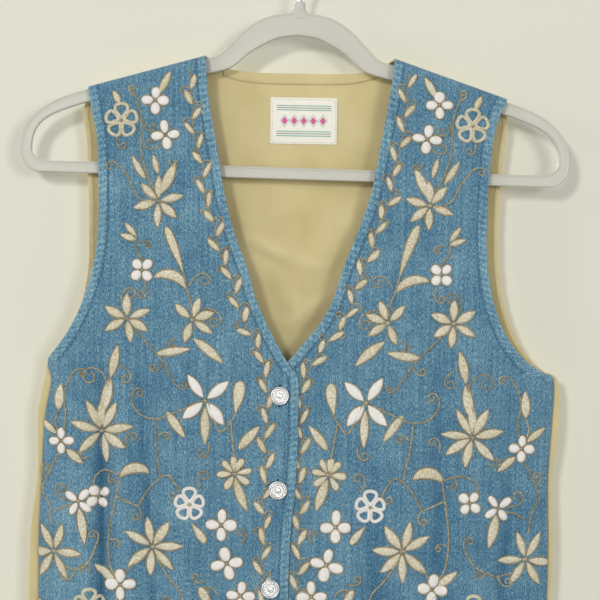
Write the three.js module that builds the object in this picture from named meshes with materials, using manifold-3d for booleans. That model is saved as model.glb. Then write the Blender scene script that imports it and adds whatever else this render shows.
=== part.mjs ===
import * as THREE from "three";
import { mergeVertices } from "three/addons/utils/BufferGeometryUtils.js";
import Module from "manifold-3d";

// A denim waistcoat with a cotton back, buttoned, hanging on a flat moulded hanger.
// Millimetres. +Z is up, the fronts face -Y and the wearer's right side is at -X.
// The origin is the inside top of the hook, where a rail carries it. Heights on the
// garment are written as a drop, the distance below the neck ends of the shoulders.

const wasm = await Module();
wasm.setup();

// Driving dimensions
const neckLevel = -115;
const denim = 1.4;
const cotton = 1.2;
const facing = 1;
const seamGap = 0.3;
const shoulderGap = 0.45;
const seamY = 2;
const shoulderRoll = 7;
const sideFullness = 3.5;

const lap = { lift: 2.2, from: -62, to: -30 };
const hem = { frontPoint: 30, pointAt: 0.2, backSag: 9 };
const neckline = { half: 78, dip: 9, power: 5, openHalf: 68, share: 0.452 };
const neckFacing = { half: 64, middle: 8.8, end: 6.5, power: 3 };
const label = { x: 4, drop: 48.5, width: 56, height: 39 };
const button = { radius: 7.5, thick: 2.4, shank: 1.25, standOff: 1 };
const buttonhole = { width: 3.2, length: 19, reach: 8 };
const hanger = { thick: 5, edge: 1, band: 9.7, tilt: THREE.MathUtils.degToRad(0.8) };
const wire = { radius: 1.75, bend: 19, socketDepth: 14, clearance: 0.4 };

// Outlines of the two fronts, a row for each section from the shoulder to the hem.
// inner is the neck and front edge and outer the armhole and side edge, both measured
// from the middle towards that front's own side. reveal is how far the back stands out
// past the outer edge in that section.
const rightFront = {
  side: -1,
  armpitRow: 11,
  lapped: true,
  rows: [
    { inner: 77.8, innerDrop: -3.2, outer: 175, outerDrop: 24.2, reveal: 0 },
    { inner: 75.2, innerDrop: 30, outer: 171, outerDrop: 45, reveal: 9 },
    { inner: 70.4, innerDrop: 57, outer: 166.6, outerDrop: 66, reveal: 10.5 },
    { inner: 65.3, innerDrop: 83, outer: 165, outerDrop: 90, reveal: 11 },
    { inner: 59.3, innerDrop: 116, outer: 164, outerDrop: 119, reveal: 10.2 },
    { inner: 50, innerDrop: 148, outer: 164.2, outerDrop: 146, reveal: 9.5 },
    { inner: 40.3, innerDrop: 173, outer: 166.4, outerDrop: 167, reveal: 7 },
    { inner: 32.6, innerDrop: 198, outer: 171, outerDrop: 186, reveal: 4 },
    { inner: 23.2, innerDrop: 219, outer: 179, outerDrop: 210, reveal: 1.5 },
    { inner: 13.7, innerDrop: 237, outer: 189.7, outerDrop: 230, reveal: 0.5 },
    { inner: 4.3, innerDrop: 252, outer: 199, outerDrop: 243, reveal: 0 },
    { inner: -3, innerDrop: 263, outer: 205.4, outerDrop: 253, reveal: 0 },
    { inner: -3.8, innerDrop: 282, outer: 202.3, outerDrop: 270, reveal: 6 },
    { inner: -3.9, innerDrop: 312, outer: 207, outerDrop: 300, reveal: 6 },
    { inner: -2.4, innerDrop: 352, outer: 208.7, outerDrop: 345, reveal: 3.5 },
    { inner: 1.2, innerDrop: 396, outer: 210.2, outerDrop: 395, reveal: 7 },
    { inner: 2.2, innerDrop: 450, outer: 209.7, outerDrop: 448, reveal: 8 },
    { inner: 2.6, innerDrop: 500, outer: 209.7, outerDrop: 494, reveal: 8 },
    { inner: 3, innerDrop: 548, outer: 209.7, outerDrop: 536, reveal: 8 },
  ],
};
const leftFront = {
  side: 1,
  armpitRow: 12,
  lapped: false,
  rows: [
    { inner: 78.3, innerDrop: -3.2, outer: 172.5, outerDrop: 28.8, reveal: 0 },
    { inner: 75.8, innerDrop: 22, outer: 164, outerDrop: 49, reveal: 10 },
    { inner: 71.4, innerDrop: 49, outer: 159.8, outerDrop: 70, reveal: 12 },
    { inner: 66.6, innerDrop: 77, outer: 157.8, outerDrop: 92, reveal: 12 },
    { inner: 60, innerDrop: 112, outer: 156.6, outerDrop: 118, reveal: 11.5 },
    { inner: 47.6, innerDrop: 148, outer: 156.4, outerDrop: 148, reveal: 11.5 },
    { inner: 38.1, innerDrop: 173, outer: 158, outerDrop: 172, reveal: 11.3 },
    { inner: 30.5, innerDrop: 198, outer: 162, outerDrop: 194, reveal: 10.5 },
    { inner: 20.4, innerDrop: 217, outer: 169.5, outerDrop: 216, reveal: 10 },
    { inner: 7.5, innerDrop: 233.5, outer: 179.2, outerDrop: 233, reveal: 8.5 },
    { inner: -4.6, innerDrop: 248, outer: 191.5, outerDrop: 246, reveal: 6 },
    { inner: -18.5, innerDrop: 262, outer: 205.5, outerDrop: 255, reveal: 3 },
    { inner: -27, innerDrop: 277, outer: 215.6, outerDrop: 262, reveal: 3.5 },
    { inner: -27.5, innerDrop: 310, outer: 214.6, outerDrop: 300, reveal: 6 },
    { inner: -27, innerDrop: 352, outer: 212.3, outerDrop: 345, reveal: 3 },
    { inner: -28, innerDrop: 396, outer: 213.4, outerDrop: 395, reveal: 4 },
    { inner: -29, innerDrop: 450, outer: 213, outerDrop: 448, reveal: 3 },
    { inner: -30, innerDrop: 500, outer: 212.8, outerDrop: 494, reveal: 3 },
    { inner: -31, innerDrop: 548, outer: 212.8, outerDrop: 536, reveal: 3 },
  ],
};

// How far each layer stands off the plane of the side seams.
const fullness = [
  { drop: 0, front: 13, back: 8 },
  { drop: 100, front: 13.5, back: 8 },
  { drop: 180, front: 15, back: 7.5 },
  { drop: 250, front: 17, back: 8 },
  { drop: 330, front: 18.5, back: 8.5 },
  { drop: 420, front: 20, back: 9 },
  { drop: 580, front: 22, back: 10 },
];

// The largest folds of the fronts: a line from the top to the bottom, its half width
// and its height, where a negative height is a trough.
const folds = [
  { topX: -161, bottomX: -152, top: 215, bottom: 470, half: 11, height: -4.5 },
  { topX: -132, bottomX: -108, top: 205, bottom: 540, half: 15, height: -3 },
  { topX: -182, bottomX: -176, top: 300, bottom: 577, half: 16, height: 2 },
  { topX: -82, bottomX: -66, top: 330, bottom: 577, half: 18, height: -2.5 },
  { topX: 60, bottomX: 74, top: 300, bottom: 577, half: 18, height: -2.5 },
  { topX: 122, bottomX: 128, top: 230, bottom: 577, half: 20, height: -3 },
  { topX: 181, bottomX: 176, top: 270, bottom: 577, half: 14, height: -3 },
];

const buttonPlaces = [
  { x: -11.6, drop: 277 },
  { x: -11.9, drop: 354 },
  { x: -16.6, drop: 434.5 },
  { x: -17.5, drop: 513 },
];

// Where the grids have their lines: close together over the roll of the shoulder and
// towards the side seam.
const frontColumns = 18;
const backColumns = { neck: 5, shoulder: 7 };
const columnPower = 1.5;
const rollSections = [0, 0.05, 0.16, 0.36, 0.65];

const denimCloth = new THREE.MeshStandardMaterial({ color: 0x5c84a0, roughness: 0.9 });
const cottonCloth = new THREE.MeshStandardMaterial({ color: 0xc4b68c, roughness: 0.85 });
const labelCloth = new THREE.MeshStandardMaterial({ color: 0xe6e2d4, roughness: 0.7 });
const plastic = new THREE.MeshStandardMaterial({ color: 0xc8c7bb, roughness: 0.5 });
const silver = new THREE.MeshStandardMaterial({ color: 0xd5d5d2, roughness: 0.3, metalness: 0.9 });
const steel = new THREE.MeshStandardMaterial({ color: 0xb9bcc0, roughness: 0.3, metalness: 1 });

// Reads a column of a table at a place between its rows, along a smooth curve.
function readRows(rows, column, at) {
  const last = rows.length - 1;
  const i = Math.min(Math.max(Math.floor(at), 0), last - 1);
  const value = (k) => rows[THREE.MathUtils.clamp(k, 0, last)][column];
  const t = at - i;
  const start = (value(i + 1) - value(i - 1)) / 2;
  const finish = (value(i + 2) - value(i)) / 2;
  const rise = value(i + 1) - value(i);
  const bend = t * (1 - t);
  return value(i) + rise * t * t * (3 - 2 * t) + bend * ((1 - t) * start - t * finish);
}

// Reads a column of a table at a drop.
function readDrop(rows, column, drop) {
  const last = rows.length - 1;
  if (drop <= rows[0].drop) return rows[0][column];
  if (drop >= rows[last].drop) return rows[last][column];
  const i = rows.findIndex((row) => row.drop > drop) - 1;
  const t = (drop - rows[i].drop) / (rows[i + 1].drop - rows[i].drop);
  return readRows(rows, column, i + t);
}

// The drop of the shoulder line of a front at a distance from the middle.
function shoulderDrop(front, distance) {
  const { inner, innerDrop, outer, outerDrop } = front.rows[0];
  return innerDrop + ((distance - inner) / (outer - inner)) * (outerDrop - innerDrop);
}

// 0 on the shoulder line, rising as a quarter circle to 1 at the bottom of its roll.
function rollOver(below) {
  const left = 1 - THREE.MathUtils.clamp(below / shoulderRoll, 0, 1);
  return Math.sqrt(1 - left * left);
}

// The half width of the garment's body at a section: above the armpit it stays as wide
// as there, so that the fronts keep their curve where the armhole cuts into them.
function bodyHalf(front, section) {
  return readRows(front.rows, "outer", Math.max(section, front.armpitRow));
}

function foldHeight(x, drop) {
  let height = 0;
  for (const fold of folds) {
    const down = (drop - fold.top) / (fold.bottom - fold.top);
    if (down <= 0 || down >= 1) continue;
    const centre = fold.topX + (fold.bottomX - fold.topX) * down;
    const aside = (x - centre) / fold.half;
    height += fold.height * Math.sin(Math.PI * down) * Math.exp(-aside * aside);
  }
  return height;
}

// The outside of a front in front of a place on it.
function frontY(front, x, drop, half) {
  const distance = x * front.side;
  const swell = readDrop(fullness, "front", drop);
  const round = Math.sqrt(Math.max(0, 1 - Math.pow(Math.abs(x) / half, sideFullness)));
  const edge = -shoulderGap / 2;
  let y = seamY - swell * round - foldHeight(x, drop);
  if (front.lapped) y -= lap.lift * THREE.MathUtils.smoothstep(x, lap.from, lap.to);
  return edge + (y - edge) * rollOver(drop - shoulderDrop(front, distance));
}

// A point of a front: across runs from the inner edge to the outer edge, and section
// from the shoulder to the hem, which drops to a point near the front edge.
function frontPoint(front, across, section) {
  const { side, rows } = front;
  const inner = readRows(rows, "inner", section);
  const outer = readRows(rows, "outer", section);
  const innerDrop = readRows(rows, "innerDrop", section);
  const outerDrop = readRows(rows, "outerDrop", section);
  const last = rows.length - 1;
  const low = Math.pow(Math.max(0, (section - last + 4) / 4), 2);
  const tent = Math.min(across / hem.pointAt, (1 - across) / (1 - hem.pointAt));
  const x = side * (inner + (outer - inner) * across);
  const drop = innerDrop + (outerDrop - innerDrop) * across + hem.frontPoint * tent * low;
  const y = frontY(front, x, drop, bodyHalf(front, section));
  return new THREE.Vector3(x, y, neckLevel - drop);
}

// The top edge of the back: the shoulder lines, and the shallow neckline between them.
function backTop(x) {
  const front = x < 0 ? rightFront : leftFront;
  const distance = Math.abs(x);
  if (distance >= neckline.half) return shoulderDrop(front, distance);
  const corner = shoulderDrop(front, neckline.half);
  return neckline.dip - (neckline.dip - corner) * Math.pow(distance / neckline.half, neckline.power);
}

// The outside of the back behind a place on it. It rolls over the shoulders to meet the
// fronts and stands open along the neckline.
function backY(x, drop, half) {
  const swell = readDrop(fullness, "back", drop);
  const round = Math.max(0, 1 - Math.pow(Math.abs(x) / half, sideFullness));
  const y = seamY + 2 * seamGap + cotton + swell * round;
  const edge = shoulderGap / 2;
  const closed = THREE.MathUtils.smoothstep(Math.abs(x), neckline.openHalf, neckline.half);
  const roll = 1 - closed * (1 - rollOver(drop - backTop(x)));
  return edge + (y - edge) * roll;
}

// A point of the back: across runs from -1 at the right side to 1 at the left side.
function backPoint(across, section) {
  const front = across < 0 ? rightFront : leftFront;
  const reach = (of, at) => readRows(of.rows, "outer", at) + readRows(of.rows, "reveal", at);
  const x = across * reach(front, section);
  const share = (across + 1) / 2;
  const level = (at) =>
    readRows(rightFront.rows, "outerDrop", at) * (1 - share) +
    readRows(leftFront.rows, "outerDrop", at) * share;
  const last = front.rows.length - 1;
  const raised = Math.pow(Math.max(0, 1 - section / 7), 2);
  const topX = across * reach(front, 0);
  const sag = hem.backSag * (1 - across * across) * Math.pow(section / last, 2);
  const drop = level(section) + (backTop(topX) - level(0)) * raised + sag;
  const y = backY(x, drop, reach(front, Math.max(section, front.armpitRow)));
  return new THREE.Vector3(x, y, neckLevel - drop);
}

// The unit normal of a surface point(a, b), pointing out of the garment.
function outwardNormal(point, a, b, aRange, bRange, turn) {
  const step = 1e-3;
  const slope = (shift) => {
    const [da, db] = [shift[0] * step, shift[1] * step];
    const clampA = (value) => THREE.MathUtils.clamp(value, aRange[0], aRange[1]);
    const clampB = (value) => THREE.MathUtils.clamp(value, bRange[0], bRange[1]);
    const ahead = point(clampA(a + da), clampB(b + db));
    return ahead.sub(point(clampA(a - da), clampB(b - db)));
  };
  return slope([1, 0]).cross(slope([0, 1])).normalize().multiplyScalar(turn);
}

// A wall of even thickness under a grid of points: the outside, the inside set back
// along the normals, and a strip round the four edges.
function wallGeometry(as, bs, outside, inside, turn) {
  const positions = [];
  const index = [];
  const wide = bs.length;
  for (const layer of [outside, inside])
    for (const a of as) for (const b of bs) positions.push(...layer(a, b).toArray());
  const at = (layer, i, j) => (layer * as.length + i) * wide + j;
  const face = (p, q, r, s) => {
    if (turn > 0) index.push(p, q, r, p, r, s);
    else index.push(p, r, q, p, s, r);
  };
  for (let i = 0; i + 1 < as.length; i++) {
    for (let j = 0; j + 1 < wide; j++) {
      face(at(0, i, j), at(0, i + 1, j), at(0, i + 1, j + 1), at(0, i, j + 1));
      face(at(1, i, j), at(1, i, j + 1), at(1, i + 1, j + 1), at(1, i + 1, j));
    }
    face(at(1, i, 0), at(1, i + 1, 0), at(0, i + 1, 0), at(0, i, 0));
    face(at(0, i, wide - 1), at(0, i + 1, wide - 1), at(1, i + 1, wide - 1), at(1, i, wide - 1));
  }
  const end = as.length - 1;
  for (let j = 0; j + 1 < wide; j++) {
    face(at(0, 0, j), at(0, 0, j + 1), at(1, 0, j + 1), at(1, 0, j));
    face(at(1, end, j), at(1, end, j + 1), at(0, end, j + 1), at(0, end, j));
  }
  const geometry = new THREE.BufferGeometry();
  geometry.setAttribute("position", new THREE.Float32BufferAttribute(positions, 3));
  geometry.setIndex(index);
  return geometry;
}

function clothWall(point, as, bs, thickness, turn) {
  const ends = (list) => [list[0], list[list.length - 1]];
  const inside = (a, b) => {
    const normal = outwardNormal(point, a, b, ends(as), ends(bs), turn);
    return point(a, b).addScaledVector(normal, -thickness);
  };
  return wallGeometry(as, bs, point, inside, turn);
}

function evenSteps(from, to, count) {
  return Array.from({ length: count + 1 }, (_, i) => from + ((to - from) * i) / count);
}

function sections(rows) {
  const whole = rows.map((_, i) => i).slice(1);
  return [...rollSections, ...whole];
}

function frontGeometry(front) {
  const columns = [];
  for (let i = 0; i <= frontColumns; i++)
    columns.push(1 - Math.pow(1 - i / frontColumns, columnPower));
  const point = (across, section) => frontPoint(front, across, section);
  return clothWall(point, columns, sections(front.rows), denim, -front.side);
}

function backGeometry() {
  const neck = evenSteps(0, neckline.share, backColumns.neck);
  const shoulder = evenSteps(neckline.share, 1, backColumns.shoulder);
  const half = [...neck, ...shoulder.slice(1)];
  const mirrored = half.slice(1).reverse().map((across) => -across);
  return clothWall(backPoint, [...mirrored, ...half], sections(rightFront.rows), cotton, 1);
}

// A patch that lies on the inside of the back, just in front of it. dropAt gives the
// drop of the point at a share of the way down.
function patchGeometry(xs, shares, dropAt) {
  const bodyWide = rightFront.rows[rightFront.armpitRow].outer;
  const place = (setBack) => (x, share) => {
    const drop = dropAt(x, share);
    return new THREE.Vector3(x, backY(x, drop, bodyWide) - setBack, neckLevel - drop);
  };
  const behind = cotton + 2 * seamGap;
  return wallGeometry(xs, shares, place(behind), place(behind + facing), 1);
}

function facingGeometry() {
  const { half, middle, end, power } = neckFacing;
  const dropAt = (x, share) => {
    const width = middle - (middle - end) * Math.pow(Math.abs(x) / half, power);
    return backTop(x) + seamGap + width * share;
  };
  return patchGeometry(evenSteps(-half, half, 22), [0, 1], dropAt);
}

function labelGeometry() {
  const { x, drop, width, height } = label;
  const xs = evenSteps(x - width / 2, x + width / 2, 6);
  return patchGeometry(xs, [0, 0.33, 0.67, 1], (_, share) => drop + height * (share - 0.5));
}

function toSolid(geometry) {
  const bare = geometry.clone();
  for (const name of ["normal", "uv"]) bare.deleteAttribute(name);
  const merged = mergeVertices(bare, 1e-4);
  return new wasm.Manifold(
    new wasm.Mesh({
      numProp: 3,
      vertProperties: new Float32Array(merged.attributes.position.array),
      triVerts: new Uint32Array(merged.index.array),
    }),
  );
}

function toGeometry(solid) {
  const { numProp, vertProperties, triVerts } = solid.getMesh();
  const positions = [];
  for (let i = 0; i < vertProperties.length; i += numProp)
    positions.push(vertProperties[i], vertProperties[i + 1], vertProperties[i + 2]);
  const geometry = new THREE.BufferGeometry();
  geometry.setAttribute("position", new THREE.Float32BufferAttribute(positions, 3));
  geometry.setIndex([...triVerts]);
  return geometry;
}

// The outside of the left front under a button, where its shank starts.
function shankFoot({ x, drop }) {
  const half = leftFront.rows[leftFront.armpitRow].outer;
  return new THREE.Vector3(x, frontY(leftFront, x, drop, half), neckLevel - drop);
}

// The right front with an upright slit for each button's shank.
function buttonholedFront() {
  let solid = toSolid(frontGeometry(rightFront));
  for (const place of buttonPlaces) {
    const foot = shankFoot(place);
    const slit = new THREE.BoxGeometry(buttonhole.width, buttonhole.reach, buttonhole.length);
    slit.translate(foot.x, foot.y - lap.lift + denim / 2, foot.z);
    solid = solid.subtract(toSolid(slit));
  }
  return toGeometry(solid);
}

// A metal disc with a raised rim and rings, facing -Y, on a shank that reaches back
// through the buttonhole. The profile starts at the foot of the shank.
function buttonGeometry() {
  const { radius, thick, shank, standOff } = button;
  const back = lap.lift + standOff - seamGap;
  const front = back + thick;
  const profile = [
    [0, 0],
    [shank, 0],
    [shank, back],
    [radius - 0.8, back],
    [radius, back + 0.7],
    [radius, front - 0.5],
    [radius - 0.9, front],
    [radius - 2, front - 0.6],
    [3.4, front - 0.6],
    [2.4, front - 0.1],
    [0, front - 0.1],
  ];
  const points = profile.map(([r, h]) => new THREE.Vector2(r, h));
  return new THREE.LatheGeometry(points, 16).rotateX(Math.PI);
}

// The outer outline of the hanger, right half, in its own frame, top to bottom. The arch
// rises between the shoulders and carries the socket of the hook.
const archTop = [
  { x: 4, drop: -39.8 },
  { x: 26, drop: -36 },
  { x: 44, drop: -25.3 },
  { x: 56.5, drop: -12 },
  { x: 64.5, drop: -4.4 },
  { x: 71, drop: -0.7 },
  { x: 79, drop: 1.3 },
];
const archUnder = [
  { x: 3, drop: -20.6 },
  { x: 16, drop: -18.6 },
  { x: 27, drop: -13.6 },
  { x: 39.5, drop: -6 },
  { x: 49.6, drop: 3.2 },
  { x: 58.5, drop: 8.8 },
  { x: 78, drop: 13.8 },
];
const hangerEnd = { x: 181, drop: 31, outX: 228.2, outDrop: 78.5, footX: 211, footDrop: 98.6 };
const socket = { half: 4.6, top: -48.5 };

// Draws half of a closed hanger outline: side -1 runs from the arch out to the end and
// along the bar, side 1 comes back. inset moves the end and the bar inwards.
function hangerHalf(path, arch, side, inset) {
  const { x, drop, outX, outDrop, footX, footDrop } = hangerEnd;
  const at = (distance, down) => [side * distance, neckLevel - down];
  const arm = [x - inset * 0.25, drop + inset * 1.04];
  const far = [outX - inset, outDrop];
  const foot = [footX - inset * 0.6, footDrop - inset];
  const armHandle = [arm[0] + 27 - inset * 0.5, arm[1] + 8.2];
  const upperHandle = [far[0], outDrop - 25];
  const lowerHandle = [far[0], foot[1] - 7 + inset * 0.3];
  const footHandle = [foot[0] + 9 - inset * 0.4, foot[1]];
  const curved = arch.map((row) => new THREE.Vector2(...at(row.x, row.drop)));
  if (side < 0) {
    path.splineThru(curved.slice(1));
    path.lineTo(...at(...arm));
    path.bezierCurveTo(...at(...armHandle), ...at(...upperHandle), ...at(...far));
    path.bezierCurveTo(...at(...lowerHandle), ...at(...footHandle), ...at(...foot));
    return;
  }
  path.lineTo(...at(...foot));
  path.bezierCurveTo(...at(...footHandle), ...at(...lowerHandle), ...at(...far));
  path.bezierCurveTo(...at(...upperHandle), ...at(...armHandle), ...at(...arm));
  const [shoulder, ...rest] = curved.reverse();
  path.lineTo(shoulder.x, shoulder.y);
  path.splineThru(rest);
}

function hangerGeometry() {
  const outline = new THREE.Shape();
  outline.moveTo(-socket.half, neckLevel - socket.top);
  outline.lineTo(-archTop[0].x, neckLevel - archTop[0].drop);
  hangerHalf(outline, archTop, -1, 0);
  hangerHalf(outline, archTop, 1, 0);
  outline.lineTo(socket.half, neckLevel - socket.top);
  const hollow = new THREE.Path();
  hollow.moveTo(-archUnder[0].x, neckLevel - archUnder[0].drop);
  hangerHalf(hollow, archUnder, -1, hanger.band);
  hangerHalf(hollow, archUnder, 1, hanger.band);
  outline.holes.push(hollow);
  const plate = new THREE.ExtrudeGeometry(outline, {
    depth: hanger.thick - 2 * hanger.edge,
    bevelThickness: hanger.edge,
    bevelSize: hanger.edge,
    bevelOffset: -hanger.edge,
    bevelSegments: 1,
    curveSegments: 3,
  });
  plate.translate(0, 0, hanger.edge - hanger.thick / 2);
  plate.rotateX(Math.PI / 2);
  const top = neckLevel - socket.top;
  const bore = new THREE.CylinderGeometry(
    wire.radius + wire.clearance, wire.radius + wire.clearance, 2 * wire.socketDepth, 12);
  bore.rotateX(Math.PI / 2);
  bore.translate(0, 0, top);
  return toGeometry(toSolid(plate).subtract(toSolid(bore)));
}

// The hook: a straight shank out of the socket, a bend to one side, and a bow of steel
// wire round the rail that ends past the far side.
function hookGeometry() {
  const middle = wire.bend + wire.radius;
  const centre = -wire.bend;
  const socketFloor = neckLevel - socket.top - wire.socketDepth + wire.clearance;
  const shankTop = -62;
  const bow = (degrees) => {
    const turn = THREE.MathUtils.degToRad(degrees);
    return new THREE.Vector3(middle * Math.cos(turn), 0, centre + middle * Math.sin(turn));
  };
  const points = [
    new THREE.Vector3(0, 0, socketFloor),
    new THREE.Vector3(0, 0, (socketFloor + shankTop) / 2),
    new THREE.Vector3(0, 0, shankTop),
    new THREE.Vector3(2.2, 0, shankTop + 9),
    new THREE.Vector3(9.5, 0, shankTop + 19),
  ];
  for (let degrees = -38; degrees <= 192; degrees += 23) points.push(bow(degrees));
  const round = new THREE.Shape().absarc(0, 0, wire.radius, 0, 2 * Math.PI);
  return new THREE.ExtrudeGeometry(round, {
    extrudePath: new THREE.CatmullRomCurve3(points, false, "centripetal"),
    steps: 36,
    curveSegments: 5,
  });
}

function piece(name, geometry, material) {
  const mesh = new THREE.Mesh(geometry, material);
  mesh.name = name;
  return mesh;
}

const waistcoat = new THREE.Group();
waistcoat.add(piece("front_right", buttonholedFront(), denimCloth));
waistcoat.add(piece("front_left", frontGeometry(leftFront), denimCloth));
waistcoat.add(piece("back", backGeometry(), cottonCloth));
waistcoat.add(piece("neck_facing", facingGeometry(), cottonCloth));
waistcoat.add(piece("neck_label", labelGeometry(), labelCloth));
buttonPlaces.forEach((place, i) => {
  const made = piece(`button_${i + 1}`, buttonGeometry(), silver);
  const foot = shankFoot(place);
  made.position.set(foot.x, foot.y - seamGap, foot.z);
  waistcoat.add(made);
});

const hangerGroup = new THREE.Group();
hangerGroup.rotation.y = hanger.tilt;
hangerGroup.add(piece("hanger_frame", hangerGeometry(), plastic));
hangerGroup.add(piece("hanger_hook", hookGeometry(), steel));

const whole = new THREE.Group();
whole.add(waistcoat, hangerGroup);

export default whole;
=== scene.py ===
# %% [markdown]
# # A denim waistcoat with embroidered flowers, on its hanger
# A short ready-made waistcoat: two washed denim fronts, worked all over in satin stitch, and
# a plain khaki cotton back. It is buttoned with engraved metal buttons and hangs flat on a
# moulded plastic hanger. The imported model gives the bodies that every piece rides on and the
# places of the buttons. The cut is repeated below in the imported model's own sizes, and each
# piece gets its fine surface, its threads and its finish on it.

# %% The frame
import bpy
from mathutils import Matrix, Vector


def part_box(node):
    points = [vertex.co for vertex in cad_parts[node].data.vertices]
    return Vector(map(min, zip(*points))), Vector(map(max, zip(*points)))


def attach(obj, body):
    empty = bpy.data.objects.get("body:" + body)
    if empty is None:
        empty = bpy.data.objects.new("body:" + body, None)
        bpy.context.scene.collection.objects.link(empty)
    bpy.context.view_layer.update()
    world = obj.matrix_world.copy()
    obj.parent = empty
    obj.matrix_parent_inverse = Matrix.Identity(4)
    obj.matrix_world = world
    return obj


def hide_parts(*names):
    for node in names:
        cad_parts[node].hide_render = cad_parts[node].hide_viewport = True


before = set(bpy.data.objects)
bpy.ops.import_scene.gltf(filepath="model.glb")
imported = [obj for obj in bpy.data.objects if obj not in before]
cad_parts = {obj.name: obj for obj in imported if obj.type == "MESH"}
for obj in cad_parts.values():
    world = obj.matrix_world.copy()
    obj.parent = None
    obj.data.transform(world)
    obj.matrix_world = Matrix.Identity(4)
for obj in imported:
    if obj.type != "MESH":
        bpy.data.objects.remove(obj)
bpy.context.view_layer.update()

import math

import bpy
import numpy as np
from mathutils import Matrix

MM = 0.001
NECK_LEVEL = -115.0
scene = bpy.context.scene

# %% [markdown]
# ## Camera, light and stage
# The waistcoat is looked at squarely from the front, closely enough that its hem and the
# hook's bow are outside the frame. It hangs turned by about one degree, which is a lean of
# the camera here, because the model stands upright. Two soft windows light it, a stronger
# one at the upper left and a weaker one at the right. A small lamp at the far left rakes
# over the cloth, another lights the back, and a pale room shines from all round. The wall
# has only one side: from behind it is clear, so the garment's back can be looked at too.

# %% Camera
PICTURE_WIDTH = 0.492
CAMERA_DISTANCE = 1.2
CAMERA_TARGET = (0.0035, -0.015, -0.3134)
LEAN = math.radians(1.0)

camera_data = bpy.data.cameras.new("camera")
camera_data.sensor_width = 36.0
camera_data.lens = 36.0 * CAMERA_DISTANCE / PICTURE_WIDTH
camera = bpy.data.objects.new("camera", camera_data)
camera.matrix_world = Matrix((
    (math.cos(LEAN), -math.sin(LEAN), 0, CAMERA_TARGET[0]),
    (0, 0, -1, CAMERA_TARGET[1] - CAMERA_DISTANCE),
    (math.sin(LEAN), math.cos(LEAN), 0, CAMERA_TARGET[2]),
    (0, 0, 0, 1),
))
scene.collection.objects.link(camera)
scene.camera = camera
print("camera lens", round(camera_data.lens, 1), "mm")

# %% Lights
LIGHT_TARGET = np.array((0.0, 0.0, -0.35))


def soft_light(name, place, size, watts, colour):
    """A square area light at a place, turned so that its face looks at the garment."""
    data = bpy.data.lights.new(name, "AREA")
    data.size = size
    data.energy = watts
    data.color = colour
    light = bpy.data.objects.new(name, data)
    back = np.array(place) - LIGHT_TARGET
    back = back / np.linalg.norm(back)
    right = np.cross((0.0, 0.0, 1.0), back)
    right = right / np.linalg.norm(right)
    up = np.cross(back, right)
    turned = np.eye(4)
    turned[:3, :3] = np.stack([right, up, back], axis=1)
    turned[:3, 3] = place
    light.matrix_world = Matrix(turned.tolist())
    scene.collection.objects.link(light)
    return light


soft_light("window", (-1.5, -3.6, 0.9), 0.6, 56.0, (1.0, 0.99, 0.97))
soft_light("second_window", (1.7, -3.4, 0.1), 0.9, 34.0, (0.98, 0.99, 1.0))
soft_light("raking", (-2.6, -1.1, 0.5), 0.5, 10.0, (1.0, 0.985, 0.96))
soft_light("behind", (-0.6, 1.5, 0.4), 1.2, 24.0, (1.0, 0.99, 0.97))

world = bpy.data.worlds.new("room")
world.use_nodes = True
room = world.node_tree.nodes["Background"]
room.inputs["Color"].default_value = (1.0, 0.995, 0.98, 1.0)
room.inputs["Strength"].default_value = 0.5
scene.world = world
scene.view_settings.view_transform = "Standard"

# %% [markdown]
# ## Writing materials as sums
# A finish is a small calculation over the surface: so much blue where the weft shows, a
# darker line where a seam is pulled in, partly painted shade. The class below wraps one
# output of a node, so that such a calculation is written as an ordinary Python line and each
# sign adds its Math node. Colours are mixed with a Mix node, because a Math node would turn
# them grey.


# %% A value in a material
class Value:
    """One output of a node. The signs + - * and / on it add Math nodes."""

    def __init__(self, finish, socket):
        self.finish = finish
        self.socket = socket

    def math(self, operation, *others, turned=False):
        values = [self, *others]
        if turned:
            values.reverse()
        settings = {"operation": operation}
        return self.finish.node("ShaderNodeMath", settings, dict(enumerate(values)))

    def __add__(self, other):
        return self.math("ADD", other)

    def __sub__(self, other):
        return self.math("SUBTRACT", other)

    def __mul__(self, other):
        return self.math("MULTIPLY", other)

    def __truediv__(self, other):
        return self.math("DIVIDE", other)

    def __rsub__(self, other):
        return self.math("SUBTRACT", other, turned=True)

    __radd__ = __add__
    __rmul__ = __mul__

    def clamped(self):
        """The value held between 0 and 1."""
        return self.math("MAXIMUM", 0.0).math("MINIMUM", 1.0)

    def band(self, centre, half):
        """1 on a line where the value is centre, falling as a bell curve to the sides."""
        aside = (self - centre) / half
        return (0.0 - aside * aside).math("EXPONENT")

    def step(self, start, end):
        """0 before start and 1 after end, with a soft rise between them."""
        inputs = {"Value": self, "From Min": start, "From Max": end}
        settings = {"interpolation_type": "SMOOTHSTEP"}
        return self.finish.node("ShaderNodeMapRange", settings, inputs)


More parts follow.
